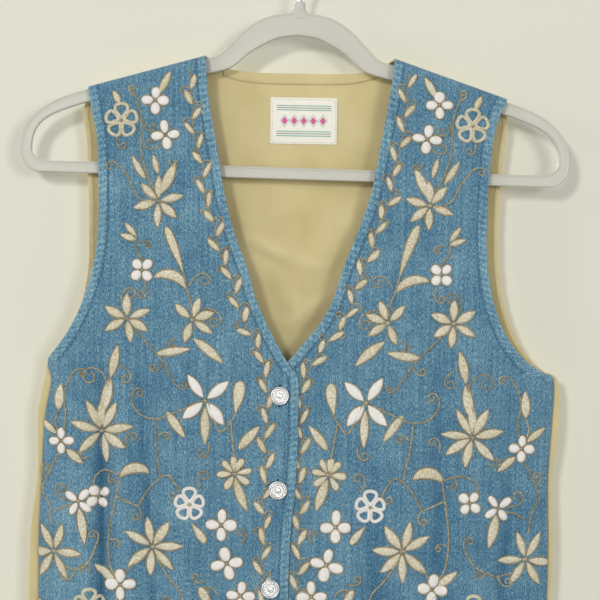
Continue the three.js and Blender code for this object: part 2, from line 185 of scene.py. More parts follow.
class Finish:
    """A material that is being written. Its shader is a Principled BSDF."""

    def __init__(self, name, **constants):
        self.material = bpy.data.materials.new(name)
        self.material.use_nodes = True
        self.tree = self.material.node_tree
        self.shader = self.tree.nodes["Principled BSDF"]
        for socket, value in constants.items():
            self.shader.inputs[socket.replace("_", " ")].default_value = value

    def link(self, source, target):
        """Puts a number, a colour or a wrapped output into a node's socket."""
        if isinstance(source, Value):
            self.tree.links.new(source.socket, target)
        else:
            target.default_value = source

    def node(self, kind, settings=None, inputs=None, output=0):
        """Adds a node of any kind: its settings first, then what its sockets take."""
        made = self.tree.nodes.new(kind)
        for name, value in (settings or {}).items():
            setattr(made, name, value)
        for name, value in (inputs or {}).items():
            self.link(value, made.inputs[name])
        return Value(self, made.outputs[output])

    def mix(self, share, low, high):
        """A colour between two colours."""
        return self.node("ShaderNodeMix", {"data_type": "RGBA"},
                         {0: share, 6: low, 7: high}, 2)

    def uv(self, layer):
        """The two numbers of one of the piece's own UV layers."""
        place = self.node("ShaderNodeUVMap", {"uv_map": layer})
        split = [self.node("ShaderNodeSeparateXYZ", {}, {0: place}, axis) for axis in (0, 1)]
        return place, split[0], split[1]

    def attribute(self, name):
        """A number that is stored on the piece's points."""
        return self.node("ShaderNodeAttribute", {"attribute_name": name}, {}, "Fac")

    def object_place(self, scale=(1.0, 1.0, 1.0)):
        """The piece's own coordinates in millimetres, stretched by scale."""
        place = self.node("ShaderNodeTexCoord", {}, {}, "Object")
        stretch = tuple(part / MM for part in scale)
        return self.node("ShaderNodeMapping", {}, {"Vector": place, "Scale": stretch})

    def noise(self, place, scale, detail=2.0, roughness=0.5):
        """Cloudy noise from 0 to 1 with a mean of about a half."""
        inputs = {"Vector": place, "Scale": scale, "Detail": detail, "Roughness": roughness}
        return self.node("ShaderNodeTexNoise", {}, inputs)

    def bump(self, height, depth, strength=1.0):
        """Leans the surface by a height field whose full depth is in millimetres."""
        inputs = {"Height": height, "Distance": depth * MM, "Strength": strength}
        return self.node("ShaderNodeBump", {}, inputs)

    def finish(self, **sockets):
        for name, value in sockets.items():
            self.link(value, self.shader.inputs[name.replace("_", " ")])
        return self.material


def colour(red, green, blue):
    """A colour given as the 0 to 255 numbers of a colour card, made linear."""
    card = np.array((red, green, blue)) / 255.0
    linear = np.where(card <= 0.04045, card / 12.92, ((card + 0.055) / 1.055) ** 2.4)
    return (*linear.tolist(), 1.0)


# %% Wall and floor
WALL_Y = 0.026
FLOOR_Z = -0.80
WALL_COLOUR = colour(218, 218, 205)


def stage_finish(name, tint):
    """A matt painted face that is clear from behind."""
    paint = Finish(name, Roughness=0.9)
    cloud = paint.noise(paint.object_place(), 0.004, 3.0)
    shade = paint.mix(cloud, tint, tuple(0.97 * part for part in tint[:3]) + (1.0,))
    paint.finish(Base_Color=shade)
    behind = paint.node("ShaderNodeNewGeometry", {}, {}, "Backfacing")
    clear = paint.node("ShaderNodeBsdfTransparent")
    opaque = Value(paint, paint.shader.outputs[0])
    seen = paint.node("ShaderNodeMixShader", {}, {0: behind, 1: opaque, 2: clear})
    paint.link(seen, paint.tree.nodes["Material Output"].inputs["Surface"])
    return paint.material


def stage_plane(name, corners, material):
    mesh = bpy.data.meshes.new(name)
    mesh.from_pydata(corners, [], [(0, 1, 2, 3)])
    mesh.materials.append(material)
    plane = bpy.data.objects.new(name, mesh)
    scene.collection.objects.link(plane)
    return plane


painted = stage_finish("wall_paint", WALL_COLOUR)
wall = stage_plane(
    "wall",
    [(-3, WALL_Y, FLOOR_Z), (3, WALL_Y, FLOOR_Z), (3, WALL_Y, 2), (-3, WALL_Y, 2)],
    painted)
floor = stage_plane(
    "floor",
    [(-3, -4, FLOOR_Z), (3, -4, FLOOR_Z), (3, 4, FLOOR_Z), (-3, 4, FLOOR_Z)],
    painted)
for surface in (wall, floor):
    surface.visible_diffuse = False
    surface.visible_glossy = False
    surface.visible_shadow = False
print("stage", wall.name, floor.name)

# %% [markdown]
# ## The cut of the garment
# The fronts and the back are curved sheets. Each is written as a surface with two
# parameters: across runs from one edge to the other, and section runs from the shoulder to
# the hem. The tables say where the edges are in each section, in millimetres, and the
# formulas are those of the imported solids, so every surface here lies on its solid. Heights
# are drops below the neck ends of the shoulders.

# %% Tables of the cut
SEAM_Y = 2.0
SEAM_GAP = 0.3
SHOULDER_GAP = 0.45
SHOULDER_ROLL = 7.0
SIDE_FULLNESS = 3.5
COTTON = 1.2
LAP = {"lift": 2.2, "from": -62.0, "to": -30.0}
HEM = {"point": 30.0, "at": 0.2, "sag": 9.0}
NECKLINE = {"half": 78.0, "dip": 9.0, "power": 5, "open": 68.0}
BUTTONS = ((-11.6, 277.0), (-11.9, 354.0), (-16.6, 434.5), (-17.5, 513.0))


def table(columns, rows):
    """Named columns of a table, as arrays."""
    return dict(zip(columns, np.array(rows, dtype=float).T))


EDGES = ("inner", "inner_drop", "outer", "outer_drop", "reveal")
RIGHT = table(EDGES, (
    (77.8, -3.2, 175, 24.2, 0), (75.2, 30, 171, 45, 9), (70.4, 57, 166.6, 66, 10.5),
    (65.3, 83, 165, 90, 11), (59.3, 116, 164, 119, 10.2), (50, 148, 164.2, 146, 9.5),
    (40.3, 173, 166.4, 167, 7), (32.6, 198, 171, 186, 4), (23.2, 219, 179, 210, 1.5),
    (13.7, 237, 189.7, 230, 0.5), (4.3, 252, 199, 243, 0), (-3, 263, 205.4, 253, 0),
    (-3.8, 282, 202.3, 270, 6), (-3.9, 312, 207, 300, 6), (-2.4, 352, 208.7, 345, 3.5),
    (1.2, 396, 210.2, 395, 7), (2.2, 450, 209.7, 448, 8), (2.6, 500, 209.7, 494, 8),
    (3, 548, 209.7, 536, 8)))
LEFT = table(EDGES, (
    (78.3, -3.2, 172.5, 28.8, 0), (75.8, 22, 164, 49, 10), (71.4, 49, 159.8, 70, 12),
    (66.6, 77, 157.8, 92, 12), (60, 112, 156.6, 118, 11.5), (47.6, 148, 156.4, 148, 11.5),
    (38.1, 173, 158, 172, 11.3), (30.5, 198, 162, 194, 10.5), (20.4, 217, 169.5, 216, 10),
    (7.5, 233.5, 179.2, 233, 8.5), (-4.6, 248, 191.5, 246, 6), (-18.5, 262, 205.5, 255, 3),
    (-27, 277, 215.6, 262, 3.5), (-27.5, 310, 214.6, 300, 6), (-27, 352, 212.3, 345, 3),
    (-28, 396, 213.4, 395, 4), (-29, 450, 213, 448, 3), (-30, 500, 212.8, 494, 3),
    (-31, 548, 212.8, 536, 3)))
RIGHT.update(side=-1, armpit=11, lapped=True, name="right")
LEFT.update(side=1, armpit=12, lapped=False, name="left")
LAST = 18

FULLNESS = table(("drop", "front", "back"), (
    (0, 13, 8), (100, 13.5, 8), (180, 15, 7.5), (250, 17, 8), (330, 18.5, 8.5),
    (420, 20, 9), (580, 22, 10)))

# The largest folds: x at the top and bottom, the two drops, half width and height.
FOLDS = (
    (-161, -152, 215, 470, 11, -4.5), (-132, -108, 205, 540, 15, -3),
    (-182, -176, 300, 577, 16, 2), (-82, -66, 330, 577, 18, -2.5),
    (60, 74, 300, 577, 18, -2.5), (122, 128, 230, 577, 20, -3),
    (181, 176, 270, 577, 14, -3))

# %% [markdown]
# Denim that has been worn and washed doesn't hang as cleanly as its pattern. It keeps
# shallow creases where it bends at the arm and the waist, and the thinner cotton of the
# back keeps more of them. Each crease is a line from one point to another, deepest in its
# middle. A negative height is a trough in the outside of a front.

# %% Creases
# x and drop of one end, x and drop of the other, half width and height
FRONT_CREASES = (
    (-160, 225, -153, 560, 2.4, -3.4), (-129, 236, -106, 540, 2.2, -2.0),
    (-50, 216, -49, 314, 1.5, -0.55), (-171, 300, -166, 520, 5, 1.3),
    (-146, 250, -136, 500, 6, 1.4), (-196, 268, -150, 300, 5, -0.7),
    (-192, 262, -160, 278, 4, 0.6), (-97, 310, -90, 480, 8, 0.8),
    (-60, 90, -92, 170, 7, 0.5), (-30, 300, -70, 350, 6, -0.5),
    (-190, 420, -130, 452, 7, -0.6), (-40, 470, -34, 560, 7, -0.9),
    (-184, 470, -180, 566, 6, -0.9), (-120, 470, -100, 570, 6, -0.8),
    (118, 236, 124, 520, 4.5, -1.6), (178, 285, 172, 540, 4, -1.6),
    (150, 255, 146, 380, 8, 0.6), (196, 272, 160, 300, 5, -0.6),
    (66, 318, 74, 560, 6, -1.3), (40, 300, 46, 470, 8, 0.6),
    (98, 60, 110, 190, 8, -0.4), (140, 100, 132, 200, 7, 0.4),
    (195, 430, 186, 560, 6, 0.8), (150, 440, 142, 566, 7, -0.8),
    (92, 460, 100, 566, 8, 0.7), (30, 470, 24, 566, 7, -0.7))
BACK_CREASES = (
    (-50, 142, -4, 166, 6.5, 1.8), (-8, 164, 36, 173, 6, 1.5), (-44, 152, 4, 178, 5, -1.2),
    (-10, 222, 30, 190, 5, 1.5), (-2, 232, 26, 212, 4, -1.1), (-38, 122, -32, 150, 8, 1.0),
    (-58, 112, -52, 150, 7, -1.0), (12, 116, 8, 160, 9, -0.9), (44, 112, 48, 150, 8, 1.1),
    (-62, 70, -46, 100, 8, 0.7), (52, 60, 62, 100, 7, -0.7), (-26, 178, -10, 214, 7, -0.9),
    (24, 180, 40, 162, 6, -0.8), (0, 180, 2, 240, 4, 0.8), (-16, 196, 14, 206, 4, 0.7),
    (-150, 40, -110, 150, 12, 1.2), (150, 45, 112, 150, 12, 1.1),
    (-120, 200, -100, 420, 14, 1.5), (-60, 260, -52, 520, 12, -1.4),
    (0, 280, 6, 540, 16, 1.3), (64, 250, 56, 500, 12, -1.2), (124, 210, 112, 440, 14, 1.4),
    (170, 280, 160, 500, 9, -1.3), (-172, 270, -164, 520, 9, -1.3),
    (-180, 250, -90, 300, 8, 0.9), (182, 255, 96, 302, 8, 0.9),
    (-90, 440, -80, 560, 10, 1.0), (92, 450, 80, 560, 10, -1.0))


def crease_height(rows, x, drop):
    """The sum of creases: along each line sin(pi * share), across it a bell curve."""
    height = np.zeros(np.broadcast(x, drop).shape)
    for from_x, from_drop, to_x, to_drop, half, depth in rows:
        run = np.array((to_x - from_x, to_drop - from_drop), dtype=float)
        length = np.hypot(*run)
        share = ((x - from_x) * run[0] + (drop - from_drop) * run[1]) / length**2
        aside = ((x - from_x) * run[1] - (drop - from_drop) * run[0]) / length / half
        height += depth * np.sin(np.pi * np.clip(share, 0, 1)) * np.exp(-aside**2)
    return height


def rumple(x, drop, size):
    """A gentle unevenness: three crossing waves of different lengths, each under 1."""
    first = np.sin(x / (7.1 * size) + 1.3 * np.sin(drop / (15.7 * size)))
    second = np.sin(drop / (11.3 * size) + x / (19.0 * size) + 2.0)
    third = np.sin((x - 0.6 * drop) / (13.3 * size) + 0.7)
    return (first * second + 0.6 * third) / 1.6


print(len(FRONT_CREASES), "creases in the fronts and", len(BACK_CREASES), "in the back")


# %% [markdown]
# ## The surfaces themselves
# A column of a table is read between its rows along a smooth curve, as a bent batten would
# run through the points. A front stands off the side seams as a flattened arch, and rolls
# over at the shoulder as a quarter circle to meet the back.


# %% Reading between the rows
def read_rows(values, at):
    """A smooth curve through the rows: the slope at a row is half the step over it."""
    row = np.clip(np.floor(at), 0, len(values) - 2).astype(int)
    share = at - row

    def value(shift):
        return values[np.clip(row + shift, 0, len(values) - 1)]

    rise = value(1) - value(0)
    start = (value(1) - value(-1)) / 2
    finish = (value(2) - value(0)) / 2
    eased = rise * share**2 * (3 - 2 * share)
    bend = share * (1 - share)
    return value(0) + eased + bend * ((1 - share) * start - share * finish)


def read_fullness(column, drop):
    """How far a layer stands off the side seams at a drop."""
    drops = FULLNESS["drop"]
    return read_rows(FULLNESS[column], np.interp(drop, drops, np.arange(len(drops))))


def smooth_step(value, start, end):
    share = np.clip((value - start) / (end - start), 0, 1)
    return share**2 * (3 - 2 * share)


def roll_over(below):
    """A quarter circle: 0 on the shoulder line and 1 at the bottom of the roll."""
    left = 1 - np.clip(below / SHOULDER_ROLL, 0, 1)
    return np.sqrt(1 - left**2)


def shoulder_drop(front, distance):
    """The straight shoulder line from the neck point to the arm."""
    run = front["outer"][0] - front["inner"][0]
    fall = front["outer_drop"][0] - front["inner_drop"][0]
    return front["inner_drop"][0] + (distance - front["inner"][0]) / run * fall


def fold_height(x, drop):
    """The largest folds: along each sin(pi * share), across it a bell curve."""
    height = np.zeros(np.broadcast(x, drop).shape)
    for top_x, bottom_x, top, bottom, half, depth in FOLDS:
        down = np.clip((drop - top) / (bottom - top), 0, 1)
        aside = (x - top_x - (bottom_x - top_x) * down) / half
        height += depth * np.sin(np.pi * down) * np.exp(-aside**2)
    return height


def front_y(front, x, drop, half):
    """The outside of a front: an arch between the sides less its folds and creases."""
    swell = read_fullness("front", drop)
    arch = np.sqrt(np.maximum(0, 1 - (np.abs(x) / half) ** SIDE_FULLNESS))
    y = SEAM_Y - swell * arch - fold_height(x, drop)
    if front["lapped"]:
        y = y - LAP["lift"] * smooth_step(x, LAP["from"], LAP["to"])
    small = crease_height(FRONT_CREASES, x, drop) + 0.22 * rumple(x, drop, 0.8)
    y = y - small * smooth_step(arch, 0.0, 0.45)
    edge = -SHOULDER_GAP / 2
    return edge + (y - edge) * roll_over(drop - shoulder_drop(front, x * front["side"]))


def body_half(front, section):
    """The garment's half width, which stays as at the armpit above it."""
    return read_rows(front["outer"], np.maximum(section, front["armpit"]))


def front_outline(front, across, section):
    """The x and drop of a point of a front, with the hem's point near the front edge."""
    inner, outer = (read_rows(front[edge], section) for edge in ("inner", "outer"))
    top, end = (read_rows(front[edge], section) for edge in ("inner_drop", "outer_drop"))
    low = np.maximum(0, (section - LAST + 4) / 4) ** 2
    tent = np.minimum(across / HEM["at"], (1 - across) / (1 - HEM["at"]))
    x = front["side"] * (inner + (outer - inner) * across)
    return x, top + (end - top) * across + HEM["point"] * tent * low


def back_top(x):
    """The top edge of the back: the shoulder lines, and the dipped neckline between."""
    distance = np.abs(x)
    shoulder = np.where(x < 0, shoulder_drop(RIGHT, distance), shoulder_drop(LEFT, distance))
    corner = np.where(x < 0, shoulder_drop(RIGHT, NECKLINE["half"]),
                      shoulder_drop(LEFT, NECKLINE["half"]))
    dip = NECKLINE["dip"]
    neck = dip - (dip - corner) * (distance / NECKLINE["half"]) ** NECKLINE["power"]
    return np.where(distance >= NECKLINE["half"], shoulder, neck)


def back_y(x, drop, half):
    """The outside of the back: a shallow arch behind the seams, open at the neckline."""
    swell = read_fullness("back", drop)
    arch = np.maximum(0, 1 - (np.abs(x) / half) ** SIDE_FULLNESS)
    y = SEAM_Y + 2 * SEAM_GAP + COTTON + swell * arch
    small = 1.5 * crease_height(BACK_CREASES, x, drop) + 0.35 * rumple(x, drop, 1.1)
    free = smooth_step(arch, 0.0, 0.5) * smooth_step(drop - back_top(x), 4.0, 30.0)
    y = y - small * free
    edge = SHOULDER_GAP / 2
    closed = smooth_step(np.abs(x), NECKLINE["open"], NECKLINE["half"])
    roll = 1 - closed * (1 - roll_over(drop - back_top(x)))
    return edge + (y - edge) * roll


def back_outline(across, section):
    """The x, drop and body half width of a point of the back."""

    def reach(at):
        sides = [read_rows(f["outer"], at) + read_rows(f["reveal"], at) for f in (RIGHT, LEFT)]
        return np.where(across < 0, *sides)

    share = (across + 1) / 2

    def level(at):
        ends = [read_rows(f["outer_drop"], at) for f in (RIGHT, LEFT)]
        return ends[0] * (1 - share) + ends[1] * share

    x = across * reach(section)
    raised = np.maximum(0, 1 - section / 7) ** 2
    sag = HEM["sag"] * (1 - across**2) * (section / LAST) ** 2
    top = back_top(across * reach(0.0 * section))
    drop = level(section) + (top - level(0.0 * section)) * raised + sag
    armpit = np.where(across < 0, RIGHT["armpit"], LEFT["armpit"])
    return x, drop, reach(np.maximum(section, armpit))


# %% [markdown]
# ## Putting arrays into meshes
# Every new piece is computed as whole arrays in millimetres and handed to Blender at once.
# A sheet is a grid of points with its other side set back along the normals and a strip
# round its edge. A thread, a petal or a rim is a row of rings, closed at both ends.


# %% Meshes from arrays
def add_mesh(name, points, faces, material, uvs=None, values=None):
    """A mesh from points in millimetres and lists of faces, each list an array of rows."""
    faces = [np.asarray(rows) for rows in faces if len(rows)]
    corners = np.concatenate([rows.ravel() for rows in faces])
    sizes = np.concatenate([np.full(len(rows), rows.shape[1]) for rows in faces])
    mesh = bpy.data.meshes.new(name)
    mesh.vertices.add(len(points))
    mesh.vertices.foreach_set("co", (points * MM).astype(np.float32).ravel())
    mesh.loops.add(len(corners))
    mesh.loops.foreach_set("vertex_index", corners.astype(np.int32))
    mesh.polygons.add(len(sizes))
    starts = np.concatenate([[0], np.cumsum(sizes)[:-1]])
    mesh.polygons.foreach_set("loop_start", starts.astype(np.int32))
    mesh.polygons.foreach_set("loop_total", sizes.astype(np.int32))
    mesh.polygons.foreach_set("use_smooth", np.full(len(sizes), True))
    mesh.update(calc_edges=True)
    for layer, pairs in (uvs or {}).items():
        data = mesh.uv_layers.new(name=layer)
        data.data.foreach_set("uv", pairs[corners].astype(np.float32).ravel())
    for layer, numbers in (values or {}).items():
        data = mesh.attributes.new(layer, "FLOAT", "POINT")
        data.data.foreach_set("value", numbers.astype(np.float32))
    mesh.validate()
    mesh.materials.append(material)
    piece = bpy.data.objects.new(name, mesh)
    scene.collection.objects.link(piece)
    triangles = int(np.sum(sizes - 2))
    print(f"{name}: {triangles} triangles")
    return piece


def grid_normals(points):
    """Unit normals of a grid of points, from the steps down it and across it."""
    down = np.gradient(points, axis=0)
    across = np.gradient(points, axis=1)
    normals = np.cross(down, across)
    return normals / np.linalg.norm(normals, axis=2, keepdims=True)


def sheet_mesh(name, points, thickness, material, outward, layers):
    """A cloth: the grid, its other side a thickness behind it, and the strip between.

    outward is the direction that the grid's face looks in, and layers holds a pair of
    numbers for each grid point under the name of each UV layer.
    """
    rows, columns = points.shape[:2]
    normals = grid_normals(points)
    if np.sum(normals @ np.array(outward)) < 0:
        normals = -normals
        points = points[:, ::-1]
        normals = normals[:, ::-1]
        layers = {key: pairs[:, ::-1] for key, pairs in layers.items()}
    inside = points - normals * thickness
    both = np.concatenate([points.reshape(-1, 3), inside.reshape(-1, 3)])
    index = np.arange(rows * columns).reshape(rows, columns)
    quads = np.stack([index[:-1, :-1], index[1:, :-1], index[1:, 1:], index[:-1, 1:]], axis=2)
    quads = quads.reshape(-1, 4)
    rim = np.concatenate([index[0, :], index[1:, -1], index[-1, -2::-1], index[-2:0:-1, 0]])
    beyond = np.roll(rim, -1)
    far = rows * columns
    strip = np.stack([rim, beyond, beyond + far, rim + far], axis=1)
    faces = np.concatenate([quads, quads[:, ::-1] + far, strip])
    uvs = {key: np.tile(pairs.reshape(-1, 2), (2, 1)) for key, pairs in layers.items()}
    return add_mesh(name, both, [turned_out(both, faces)], material, uvs)


def signed_volume(points, faces):
    """The volume inside closed quads: the sum of the pyramids that they make with 0."""
    a, b, c, d = (points[faces[:, corner]] for corner in range(4))
    first = np.einsum("ij,ij->i", a, np.cross(b, c))
    second = np.einsum("ij,ij->i", a, np.cross(c, d))
    return float(np.sum(first + second) / 6)


def turned_out(points, faces):
    """The faces, turned over if they point inwards."""
    return faces[:, ::-1] if signed_volume(points, faces) < 0 else faces


def ring_faces(items, steps, around):
    """Faces of rows of rings: quads between the rings and a cap on each end."""
    item = np.arange(items)[:, None, None] * steps * around
    step = np.arange(steps - 1)[None, :, None] * around
    here = np.arange(around)[None, None, :]
    there = (here + 1) % around
    low = item + step
    quads = np.stack([low + here, low + there, low + around + there, low + around + here], -1)
    first = item[:, 0, :] + np.arange(around)[::-1]
    last = item[:, 0, :] + (steps - 1) * around + np.arange(around)
    return quads.reshape(-1, 4), np.concatenate([first, last])


def even_distances(length, edge_steps, count):
    """Distances over a width: close together near both edges, even in the middle."""
    near = np.array(edge_steps, dtype=float)
    middle = np.linspace(near[-1], length - near[-1], count + 1)
    return np.concatenate([near, middle[1:-1], length - near[::-1]])


# %% [markdown]
# ## Washed denim
# Denim is a twill: blue warp threads pass over white weft threads, so a close look finds
# both colours in slanting rows, and a wash fades the blue unevenly. Along a turned edge the
# cloth is thicker. Its stitching pulls in, so the edge puckers and the ridges wear pale; the
# line of stitches is darker, partly as unfaded blue and partly as painted shade in its groove.
# The distance to the edge is stored in a UV layer of its own, so the finish can follow the edge
# round the neck and the arm. The depth of the creases is stored in another, and the colour is
# painted darker in their troughs and lighter on their ridges, as shade and light.

# %% Denim
BAND = 7.8
PUCKER = 5.2
NO_EDGE = 40.0


def denim_finish():
    cloth = Finish("washed_denim", Roughness=0.88)
    cloth.shader.inputs["Sheen Weight"].default_value = 0.18
    cloth.shader.inputs["Sheen Roughness"].default_value = 0.5
    cloth.shader.inputs["Specular IOR Level"].default_value = 0.25
    flat, x, up = cloth.uv("flat")
    _, from_edge, along = cloth.uv("edge")
    _, painted_crease_shade, _ = cloth.uv("painted_crease_shade")
    warp = cloth.node("ShaderNodeMapping", {}, {"Vector": flat, "Scale": (1.0, 0.3, 1.0)})
    slub = cloth.noise(warp, 1.3, 2.0, 0.65)
    speck = cloth.noise(flat, 1.9, 2.0, 0.7)
    streak = cloth.noise(cloth.node("ShaderNodeMapping", {}, {
        "Vector": flat, "Scale": (1.0, 0.035, 1.0)}), 0.42, 2.0, 0.6)
    twill = ((x * 1.0 + up * 0.62 + slub * 1.4) * 6.4).math("SINE") * 0.5 + 0.5
    cloud = cloth.noise(flat, 0.03, 3.0)
    patch = cloth.noise(flat, 0.11, 2.0)
    weft = (slub - 0.5) * 2.3 + (speck - 0.5) * 3.5 + (twill - 0.5) * 0.2 + 0.52
    fade_and_painted_shade = weft + (cloud - 0.5) * 0.5 + (patch - 0.5) * 0.3 + (streak - 0.5) * 0.75
    on_band = 1.0 - from_edge.step(BAND - 1.2, BAND - 0.2)
    worn_edge = 1.0 - from_edge.step(0.2, 2.4)
    ripple = ((along + slub * 1.5) * (2 * math.pi / PUCKER)).math("SINE") * 0.5 + 0.5
    fade_and_painted_shade = fade_and_painted_shade + on_band * (0.10 + (ripple - 0.4) * 0.24) + worn_edge * 0.16
    # The line of stitches is darkened: partly unfaded blue, partly painted shade in its groove.
    groove = from_edge.band(BAND, 0.8)
    # Painted shade and light: the colour darkens in the creases' troughs and lightens on their
    # ridges.
    fade_and_painted_shade = fade_and_painted_shade - groove * 0.5 + painted_crease_shade * 0.13
    deep = colour(44, 92, 124)
    middle = colour(92, 142, 168)
    pale = colour(172, 206, 212)
    blue = cloth.mix((fade_and_painted_shade * 1.15 - 0.02).clamped(), deep, middle)
    blue = cloth.mix(((fade_and_painted_shade - 0.55) * 1.25).clamped(), blue, pale)
    height = (weft - 0.5) * 0.5 + twill * 0.25
    cloth.finish(Base_Color=blue, Normal=cloth.bump(height, 0.35, 0.9))
    return cloth.material


denim = denim_finish()
print("denim ready")


# %% [markdown]
# A front starts as its outline, with grid lines close together where the edges are. The
# grid then gets the turned edge's ridge, the pulled-in line of stitches and the puckers
# between them as real relief, and its rim is rounded over.


# %% Relief of the turned edges
DENIM = 1.2


def edge_relief(distance, along, strength):
    """A turned edge in millimetres of height: a flat ridge, a groove and puckers.

    The ridge ends in a soft step at the stitches. The puckers are a wave along the edge
    that is strongest between the rim and the stitches and fades beyond them.
    """
    ridge = 0.42 * (1 - smooth_step(distance, BAND - 1.0, BAND + 0.6))
    groove = -0.5 * np.exp(-(((distance - BAND) / 0.9) ** 2))
    reach = np.exp(-(((distance - 0.62 * BAND) / 4.2) ** 2))
    uneven = 1.7 * np.sin(along / 9.7) + 1.1 * np.sin(along / 4.3 + 1.0)
    pucker = 0.27 * reach * np.sin((along + uneven) * 2 * np.pi / PUCKER)
    rounded = 1 - np.clip(distance / 0.9, 0, 1)
    rim = -0.5 * (1 - np.sqrt(1 - rounded**2))
    return strength * (ridge + groove + pucker) + rim


def run_length(x, drop):
    """The distance travelled down each column of a grid."""
    steps = np.hypot(np.diff(x, axis=0), np.diff(drop, axis=0))
    return np.concatenate([np.zeros((1, x.shape[1])), np.cumsum(steps, axis=0)])


def slant(front, edge, section):
    """The cosine of an edge's lean from upright, which narrows a level distance."""
    step = 0.05
    low = np.clip(section - step, 0, LAST)
    high = np.clip(section + step, 0, LAST)
    aside = read_rows(front[edge], high) - read_rows(front[edge], low)
    down = read_rows(front[edge + "_drop"], high) - read_rows(front[edge + "_drop"], low)
    return np.abs(down) / np.hypot(aside, down)


def even_sections(front, count):
    """Sections whose lines are evenly spaced down the middle of a front."""
    fine = np.linspace(0, LAST, 800)
    x, drop = front_outline(front, np.full(800, 0.5), fine)
    travelled = np.concatenate([[0], np.cumsum(np.hypot(np.diff(x), np.diff(drop)))])
    wanted = even_distances(travelled[-1], (0, 0.3, 0.8, 1.6, 2.8, 4.4, 6.2, 7.8, 9.6), count)
    return np.interp(wanted, travelled, fine)


def front_grid(front):
    """The grid of a front: points, edge distance and run, and crease depth for painted shade."""
    section = even_sections(front, 215)[:, None]
    steps = (0, 0.25, 0.7, 1.5, 2.6, 3.9, 5.3, 6.5, 7.4, 8.2, 9.2, 10.6, 12.4)
    width = read_rows(front["outer"], section) - read_rows(front["inner"], section)
    share = np.stack([even_distances(w, steps, 68) / w for w in width[:, 0]])
    x, drop = front_outline(front, share, np.broadcast_to(section, share.shape))
    from_inner = share * width * slant(front, "inner", section)
    from_outer = (1 - share) * width * slant(front, "outer", section)
    half = body_half(front, section)
    along = run_length(x, drop)
    armhole = 1 - smooth_step(section, front["armpit"] - 0.1, front["armpit"] + 0.15)
    sewn = np.where(from_inner < from_outer, 0.85, armhole)
    distance = np.minimum(from_inner, from_outer)
    relief = edge_relief(distance, along, sewn)
    y = front_y(front, x, drop, half) - relief * roll_over(
        drop - shoulder_drop(front, x * front["side"]) + 2.0)
    edge_distance = np.where(sewn > 0.5, distance, NO_EDGE)
    points = np.stack([x, y, NECK_LEVEL - drop], axis=2)
    flat = np.stack([x, NECK_LEVEL - drop], axis=2)
    edge = np.stack([edge_distance, along], axis=2)
    # The creases' depth, which the denim paints into its colour as shade and light.
    hollow = crease_height(FRONT_CREASES, x, drop) + 0.3 * fold_height(x, drop)
    painted_crease_shade = np.stack([hollow, along], axis=2)
    return points, {"flat": flat, "edge": edge, "painted_crease_shade": painted_crease_shade}


fronts = {}
for front in (RIGHT, LEFT):
    points, layers = front_grid(front)
    name = "denim_front_" + front["name"]
    fronts[front["name"]] = sheet_mesh(name, points, DENIM, denim, (0, -1, 0), layers)

# %% [markdown]
# ## Khaki cotton back
# The back is one piece of light plain-woven cotton. Its inside shows in the neck, soft and
# creased, and its armhole edges stand out past the denim. A plain weave has no direction,
# so its bump is a fine check of threads going over and under.


# %% Cotton
def cotton_finish():
    cloth = Finish("khaki_cotton", Roughness=0.8)
    cloth.shader.inputs["Sheen Weight"].default_value = 0.12
    cloth.shader.inputs["Specular IOR Level"].default_value = 0.3
    flat, x, up = cloth.uv("flat")
    _, from_edge, _ = cloth.uv("edge")
    _, painted_crease_shade, _ = cloth.uv("painted_crease_shade")
    cloud = cloth.noise(flat, 0.03, 3.0)
    thread = cloth.noise(flat, 1.1, 2.0, 0.6)
    weave = (x * 9.0).math("SINE") * (up * 9.0).math("SINE")
    # Painted shade and light: tone darkens in the troughs of the back's creases and lightens on
    # ridges.
    tone = ((cloud - 0.5) * 0.9 + (thread - 0.5) * 0.7 + painted_crease_shade * 0.16 + 0.5).clamped()
    khaki = cloth.mix(tone, colour(190, 174, 122), colour(220, 205, 156))
    seam = from_edge.band(5.2, 0.6)
    khaki = cloth.mix(seam * 0.5, khaki, colour(128, 108, 62))
    outer = 1.0 - from_edge.step(0.4, 3.0)
    khaki = cloth.mix(outer * 0.35, khaki, colour(222, 210, 170))
    height = weave * 0.25 + thread * 0.6
    cloth.finish(Base_Color=khaki, Normal=cloth.bump(height, 0.22, 0.7))
    return cloth.material


khaki = cotton_finish()


def back_grid():
    """The grid of the back, with the hemmed edges of its armholes pulled in and wavy."""
    section = even_sections(LEFT, 160)[:, None]
    near = np.array((0, 0.3, 0.9, 1.8, 3.0, 4.3, 5.2, 6.2, 7.6, 9.6)) / 190
    across = 1 - even_distances(2.0, near, 108)[None, :]
    across, section = np.broadcast_arrays(across, section)
    x, drop, half = back_outline(across, section)
    along = run_length(x, drop)
    distance = (1 - np.abs(across)) * half
    open_edge = 1 - smooth_step(section, 11.0, 12.4)
    ridge = 0.3 * (1 - smooth_step(distance, 4.4, 5.8))
    groove = -0.3 * np.exp(-(((distance - 5.2) / 0.8) ** 2))
    wave = 0.55 * np.exp(-((distance / 5.0) ** 2)) * np.sin(along / 2.4 + np.sin(along / 7.0))
    y = back_y(x, drop, half)
    fade = roll_over(drop - back_top(x))
    y = y + open_edge * (ridge + groove + wave) * fade
    points = np.stack([x, y, NECK_LEVEL - drop], axis=2)
    flat = np.stack([x, NECK_LEVEL - drop], axis=2)
    edge = np.stack([np.where(open_edge > 0.5, distance, NO_EDGE), along], axis=2)
    # The creases' depth, which the cotton paints into its colour as shade and light.
    painted_crease_shade = np.stack([crease_height(BACK_CREASES, x, drop), along], axis=2)
    return points, {"flat": flat, "edge": edge, "painted_crease_shade": painted_crease_shade}


back_points, back_layers = back_grid()
back = sheet_mesh("cotton_back", back_points, COTTON, khaki, (0, 1, 0), back_layers)

